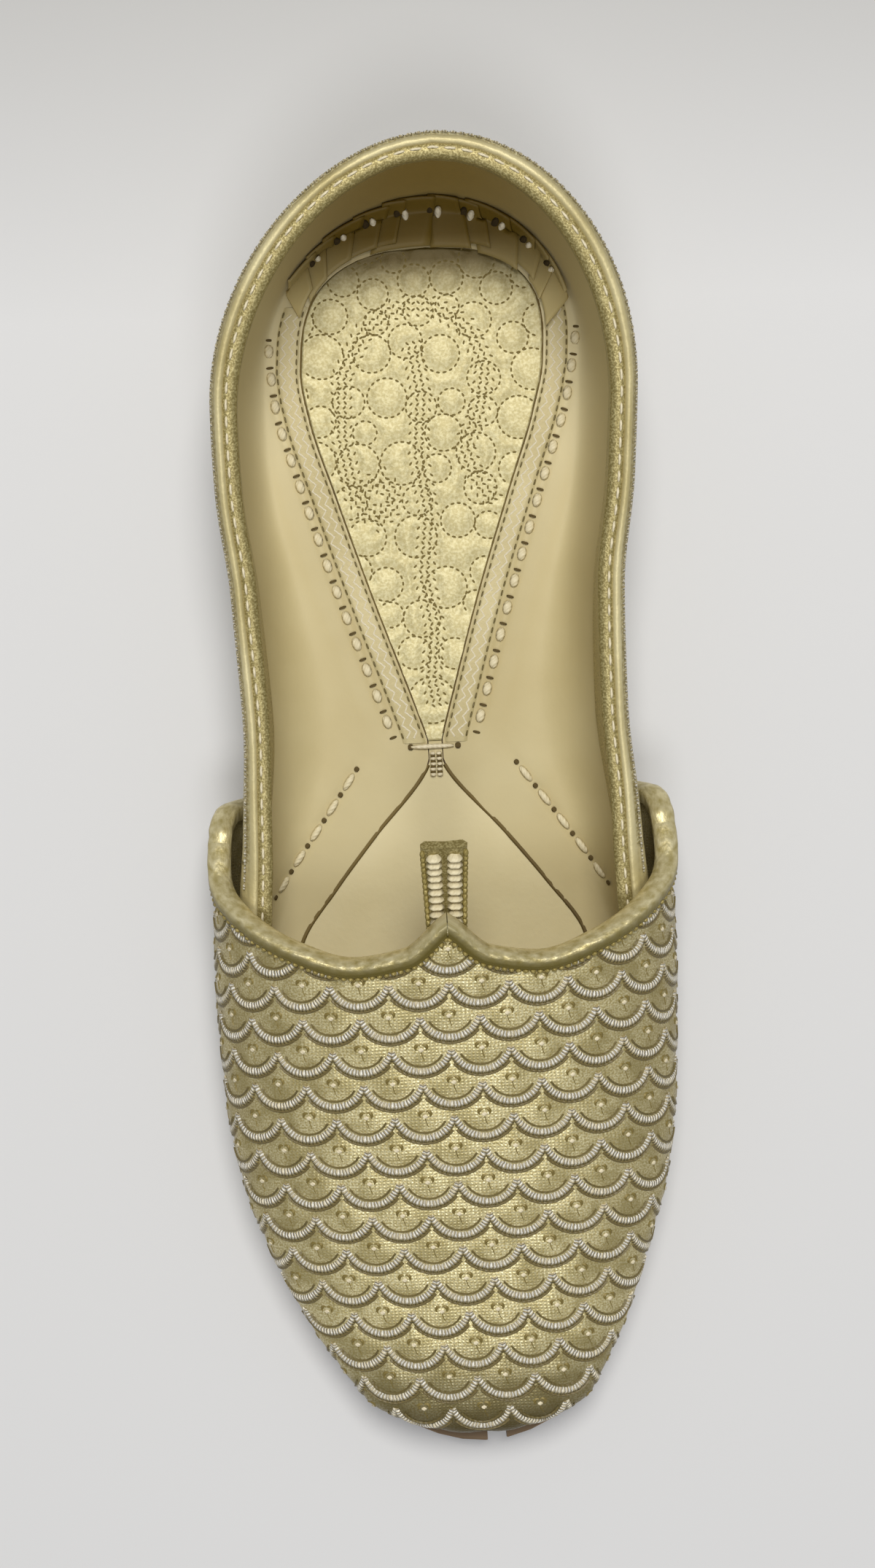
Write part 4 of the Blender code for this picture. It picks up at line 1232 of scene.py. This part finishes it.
def makeStrip(name, side):
    station = np.linspace(strip["start"], strip["end"], 90)
    edge = marginEdge(station) / mm + strip["away"]
    room = np.interp(station, *np.array(seam["rear"]).T) - strip["seamGap"] - (edge - strip["away"])
    room = np.minimum(strip["width"], room)
    y = placeOf(station)

    def across(share, places):
        return side * np.interp(places, y[::-1], (edge + room * share)[::-1])

    u = side * (edge[:, None] + room[:, None] * np.linspace(0, 1, 9)) * mm
    v = np.broadcast_to(y[:, None], u.shape)
    place, normal, _ = onTable(floorSurface, u.ravel(), v.ravel())
    lift = strip["thick"] * mm * np.array([0, 1, 1, 1, 1, 1, 1, 1, 0])
    points = (place + normal * np.tile(lift, len(station))[:, None]).reshape(*u.shape, 3)
    seat(bendSheet(name, points, np.stack([u, v], -1) / mm, [stripLeather]), "lining_leather")
    turns = np.arange(y[-1] + mm, y[0] - mm, strip["pitch"] * mm)
    strands = []
    for share in (0.34, 0.68):
        swing = strip["swing"] * (-1.0) ** np.arange(len(turns)) * noise.uniform(0.6, 1.1, len(turns))
        strands.append(((across(share, turns) + side * swing) * mm, turns, 0.3 * mm, 0.17 * mm, 0.14 * mm))
    seat(threads(name + "Zigzag", floorSurface, strands, triRing, stripThread), "stitched_cord")
    dense = np.linspace(y[-1], y[0], 90)
    for share, part in ((0.1, "Inner"), (0.93, "Outer")):
        path, normal = floorPath(across(share, dense) * mm, dense, 0.25 * mm)
        stitches(name + part, path, normal, strip["stitch"], fineThread, 0.06)


for side, name in ((-1, "stripLeft"), (1, "stripRight")):
    makeStrip(name, side)

# Shadowed edges of the turned-in margin
edges = []
for start, end, radius in ((0.09, 0.4405, 0.2), (0.465, 0.93, 0.42)):
    station = np.linspace(start, end, 110)[::-1]
    for side in (-1, 1):
        edges.append((side * (marginEdge(station) - 0.1 * mm), placeOf(station), 0.12 * mm, radius * mm,
                      0.7 * radius * mm))
seat(threads("marginEdges", floorSurface, edges, triRing, edgeLeather), "lining_leather")

# Tie bar and folded tip where the margins meet
tie = {"y": 12.4, "x": -0.2, "bar": (8.6, 9.2, 0.5, 0.45), "hole": (1.1, 1.6, 0.6, 0.15),
       "tipRows": 9, "tipStart": 11.0, "tipStep": 0.52}


def tieRow(name, across, y, lift, shape, material, *more):
    path, normal = floorPath(across * mm, np.full(len(across), y * mm), lift * mm)
    stitches(name, path, normal, shape, material, *more)


tieRow("tieBar", tie["x"] + np.linspace(-5.0, 5.0, 24), tie["y"], 0.35, tie["bar"], creamThread,
       0.35, 0.3, -4.2)
for side, name in ((-1, "Left"), (1, "Right")):
    tieRow("tieHole" + name, tie["x"] + side * np.linspace(3.9, 5.9, 12), tie["y"], 0.35, tie["hole"],
           darkHole, 0.12, 0.0, -0.6)
for row in range(tie["tipRows"]):
    width, material = ((0.36, creamThread), (0.16, edgeLeather))[row % 2]
    tieRow("waistTip%d" % row, np.linspace(-1.5, 1.5, 16), tie["tipStart"] - tie["tipStep"] * row, 0.45,
           (1.15, 1.35, width, 0.4), material, 0.3, 0.4, -0.5)

# Pleated ends of the lining, lapped over each other round the heel and up its wall
pleat = {
    "left": 0.062, "right": 0.078, "inner": 0.2, "outer": 12.4, "count": 12, "lap": 0.42, "lift": 1.2,
    "thick": 0.45, "seam": 7.8, "stitch": (1.3, 6.5, 1.5, 0.35), "hole": (1.3, 6.5, 1.8, 0.15),
}
heel = {"columns": 240, "rows": 28, "row": 0.5}


def heelGrid():
    # The lining round the heel as an even grid, with a row every half millimetre up from the margin.
    turn = np.linspace(-1, 1, 321)
    along = np.where(turn < 0, pleat["left"], pleat["right"]) * turn ** 2
    side = np.where(turn < 0, -1.0, 1.0)
    run = wallRun(along, side, -last["wall"], -last["lip"], last["lip"], 12, 26, 14)
    heights = np.arange(heel["rows"] + 1) * heel["row"] * mm
    grid = np.stack([followed(heights, lengths(line), line) for line in run.transpose(1, 0, 2)])
    middle = lengths(grid[:, 12])
    even = np.linspace(0, middle[-1], heel["columns"] + 1)
    return np.stack([followed(even, middle, grid[:, row]) for row in range(len(heights))])


heelPoints = heelGrid()
heelNormals = turnedTo(gridNormals(heelPoints), (2, 120))


def onHeel(column, height, lift):
    # Place over the grid: column from 0 to 1, height up from the margin's edge and lift above the
    # lining in millimetres.
    column, height, lift = (np.asarray(value, float) for value in (column, height, lift))
    column = np.clip(column, 0, 1) * heel["columns"]
    row = np.clip(height / heel["row"], 0, heel["rows"] - 1)
    i = np.minimum(column.astype(int), heel["columns"] - 1)
    past = (heelPoints[0, i] - heelPoints[2, i]) * np.maximum(-height, 0)[..., None]
    normal = unit(blended(heelNormals, row, column))
    return blended(heelPoints, row, column) + past + normal * (lift * mm)[..., None], normal


def thicken(piece, thickness, offset=-1.0):
    thick = piece.modifiers.new("thickness", "SOLIDIFY")
    thick.thickness = thickness
    thick.offset = offset


def makePleats():
    bounds = np.linspace(0, 1, pleat["count"] + 1)
    bounds[1:-1] += noise.uniform(-0.022, 0.022, pleat["count"] - 1)
    for i in range(pleat["count"]):
        size = bounds[i + 1] - bounds[i]
        skew = noise.uniform(-0.2, 0.2) * size * (0.2 < bounds[i] < 0.75)
        atEnd = abs(bounds[i] + bounds[i + 1] - 1) ** 4
        inner = pleat["inner"] + noise.uniform(-0.9, 1.1)
        outer = pleat["outer"] + noise.uniform(-0.6, 0.6) - 3.0 * atEnd
        up, across = np.meshgrid(np.linspace(0, 1, 13), np.linspace(0, 1, 9), indexing="ij")
        column = bounds[i] - size * pleat["lap"] + across * size * (1 + pleat["lap"]) + skew * (1 - up)
        lift = (0.3 + pleat["lift"] * across ** 1.5 * (1 - 0.6 * up) + 0.4 * np.sin(up * math.pi)
                + 0.5 * (1 - up) ** 3)
        points, _ = onHeel(column, inner + (outer - inner) * up, lift)
        piece = bendSheet("heelPleat%d" % i, points, np.stack([column * 80, up * 11], -1), [pleatLeather])
        thicken(piece, pleat["thick"] * mm)
        seat(piece, "lining_leather")


makePleats()
heelLine, heelUp = onHeel(np.linspace(0.06, 0.97, 160), np.full(160, pleat["seam"]), np.full(160, 1.5))
stitches("heelSeam", heelLine, heelUp, pleat["stitch"], stripThread, 0.3)
stitches("heelHoles", heelLine, heelUp, pleat["hole"], pleatHole, 0.3, 1.0, -1.5)
print("seams")


# Socks: quilted gold leather in the heel, plain leather in the forepart
sock = {"heel": (0.0, 0.4462), "fore": (0.4465, 0.94), "step": 0.5 * mm, "foreStep": 1.0 * mm,
        "margin": 0.2 * mm}


def makeSock(name, part, material, rise, step):
    start, end = (placeOf(station) for station in sock[part])
    start = min(start, marginEnds[0])
    y = np.linspace(end, start, int((start - end) / step) + 2)
    station = stationOf(y)
    half = np.maximum(marginEdge(station) - sock["margin"], 0.1 * mm)
    x = half[:, None] * np.linspace(-1, 1, 97)[None, :] + centreLine(station)[:, None]
    depth = np.broadcast_to(y[:, None], x.shape)
    top = footLine(station)[:, None] + last["sock"] + rise(x, depth)
    uv = np.stack([x, depth], -1) / mm
    piece = bendSheet(name, np.stack([x, depth, top], -1), uv, [material], angle=80)
    middle = piece.data.polygons[len(piece.data.polygons) // 2]
    thicken(piece, last["sock"], -1.0 if middle.normal.z > 0 else 1.0)  # always downwards
    return piece


# Quilting of the heel, in millimetres: circles of many sizes, and a vine of three rows of dashes
quilt = {
    "corner": (-26, 8), "farCorner": (26, 112), "tries": 900, "radius": (3.0, 4.6), "smallest": 2.3,
    "circlePitch": 1.25, "vinePitch": 0.95, "vineRows": (-1.3, 0.0, 1.3), "swing": 0.55, "slant": 0.7,
    "margin": 0.8, "lastStation": 0.436, "rise": 0.3, "sink": 0.05, "puff": 1.3, "dashHeight": 0.12,
    "dash": ((-0.45, 0), (-0.25, -0.18), (0.25, -0.18), (0.45, 0), (0.25, 0.18), (-0.25, 0.18)),
}
vine = {
    "arch": [(-13.5, 62), (-15.5, 74), (-15, 86), (-10, 95), (-3, 99.5), (4, 99), (10, 95), (13.5, 87),
             (12, 78), (8.5, 71.5), (10.5, 65), (14, 60)],
    "stem": [(-1, 92), (0.5, 82), (-0.5, 70), (1, 58), (-0.5, 46), (1.2, 36), (0, 26), (1, 20)],
    "curl": [(-13.5, 62), (-9, 57), (-5, 61), (-8, 66), (-12, 63)],
}


def circleSites():
    # Centres and sizes of the quilted circles, each as large as its neighbours let it be.
    sites = []
    for place in noise.uniform(quilt["corner"], quilt["farCorner"], (quilt["tries"], 2)):
        rooms = [math.dist(place, other[:2]) - other[2] for other in sites]
        room = min(rooms + [noise.uniform(*quilt["radius"])])
        if room > quilt["smallest"]:
            sites.append((*place, room))
    return [(x * mm, y * mm, radius * mm) for x, y, radius in sites]


def insideSock(x, y):
    station = stationOf(y)
    room = marginEdge(station) - quilt["margin"] * mm
    return station < quilt["lastStation"] and abs(x - centreLine(station)) < room


def quiltStitches():
    # Places and directions of the quilting stitches.
    marks = []
    for x, y, radius in circleSites():
        count = int(2 * math.pi * radius / (quilt["circlePitch"] * mm))
        for k in range(count):
            turn = 2 * math.pi * k / count
            marks.append((x + radius * math.cos(turn), y + radius * math.sin(turn), turn + quarterTurn))
    for line in vine.values():
        line = np.array(line) * mm
        distance = lengths(line)
        x, y = followed(np.arange(0, distance[-1], quilt["vinePitch"] * mm), distance, line).T
        heading = np.arctan2(np.gradient(y), np.gradient(x))
        for k in range(len(x)):
            for offset in quilt["vineRows"]:
                swing = (offset + quilt["swing"] * (-1) ** k) * mm
                marks.append((x[k] - math.sin(heading[k]) * swing, y[k] + math.cos(heading[k]) * swing,
                              heading[k] + quilt["slant"] * (-1) ** k))
    return [mark for mark in marks if insideSock(*mark[:2])]


quiltMarks = quiltStitches()
markPlaces = np.array([mark[:2] for mark in quiltMarks])


def quiltRise(x, y):
    # The padding is drawn down at each stitch.
    flat = np.stack([x.ravel(), y.ravel()], -1)
    nearest = np.empty(len(flat))
    for first in range(0, len(flat), 2000):
        gap = flat[first:first + 2000, None] - markPlaces[None]
        nearest[first:first + 2000] = np.sqrt((gap ** 2).sum(-1).min(1))
    padding = quilt["rise"] * mm * (1 - np.exp(-(nearest / (quilt["puff"] * mm)) ** 2))
    return (padding - quilt["sink"] * mm).reshape(x.shape)


def quiltDashes():
    points, faces = [], []
    for x, y, heading in quiltMarks:
        z = float(footLine(stationOf(y))) + last["sock"] + quilt["sink"] * mm
        cosine, sine = math.cos(heading), math.sin(heading)
        first = len(points)
        for a, b in quilt["dash"]:
            points.append((x + (a * cosine - b * sine) * mm, y + (a * sine + b * cosine) * mm, z))
        points.append((x, y, z + quilt["dashHeight"] * mm))
        faces += [(first + k, first + (k + 1) % 6, first + 6) for k in range(6)]
        faces.append(tuple(range(first + 5, first - 1, -1)))
    return meshPiece("quiltStitches", points, faces, quiltThread)


quiltThread = startMaterial("quiltThread", "7A6A36", 0.6)[0]
seat(makeSock("heelSock", "heel", sockLeather, quiltRise, sock["step"]), "quilted_sock", "heel_sock")
seat(quiltDashes(), "quilted_sock")
foreSock = makeSock("foreSock", "fore", floorLeather, lambda x, y: 0 * x, sock["foreStep"])
seat(foreSock, "lining_leather", "fore_sock")
print("socks", len(quiltMarks))


# Sole: two plates of brown leather
for node, material in (("outsole", makeSoleLeather("soleLeather", "917454", "644B32")),
                       ("insole", makeSoleLeather("insoleLeather", "A08664", "745D40"))):
    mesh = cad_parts[node].data
    mesh.materials.clear()
    mesh.materials.append(material)
print("sole")


# Floor, light and camera
def makeFloor():
    # White painted board, darker towards the back as painted shade
    bpy.ops.mesh.primitive_plane_add(size=1.4)
    floor = bpy.context.object
    floor.name = "floor"
    material, tree, shader = startMaterial("whiteBoard", "DCDCDC", 0.6)
    back = axisOf(tree, coordinatesOf(tree, "Object"), "Y")
    paint(tree, shader, clouded(tree, back, 0.10, 0.19, "DADADB", "B4B3B1"))
    floor.data.materials.append(material)
    return floor


def addLight(name, place, target, size, power, tint="FFFFFF"):
    data = bpy.data.lights.new(name, "AREA")
    data.shape = "DISK"
    data.size = size
    data.energy = power
    data.color = colour(tint)[:3]
    light = bpy.data.objects.new(name, data)
    light.location = place
    light.rotation_euler = (Vector(target) - Vector(place)).to_track_quat("-Z", "Y").to_euler()
    bpy.context.scene.collection.objects.link(light)


makeFloor()
addLight("window", (0.03, 0.5, 1.35), (0, 0, 0), 0.5, 12.5, "FFFDF8")
addLight("ceiling", (0.0, -0.5, 1.4), (0, 0, 0), 0.5, 5)
world = bpy.data.worlds.new("room")
world.use_nodes = True
background = world.node_tree.nodes["Background"]
background.inputs["Color"].default_value = colour("F2F3F5")
background.inputs["Strength"].default_value = 0.27
bpy.context.scene.world = world

# The photo looks straight down from above the heel seat, so the frame is shifted towards the toe.
camera = bpy.data.objects.new("camera", bpy.data.cameras.new("camera"))
camera.location = (-0.008, 0.034, 0.532)
camera.rotation_euler = (0, 0, -0.046)
camera.data.lens = 61
camera.data.shift_x = 0.031
camera.data.shift_y = -0.093
camera.data.sensor_width = 36
camera.data.clip_start = 0.01
bpy.context.scene.collection.objects.link(camera)
bpy.context.scene.camera = camera
bpy.context.scene.view_settings.view_transform = "Standard"
bpy.context.scene.view_settings.look = "None"
print("floor, light and camera")
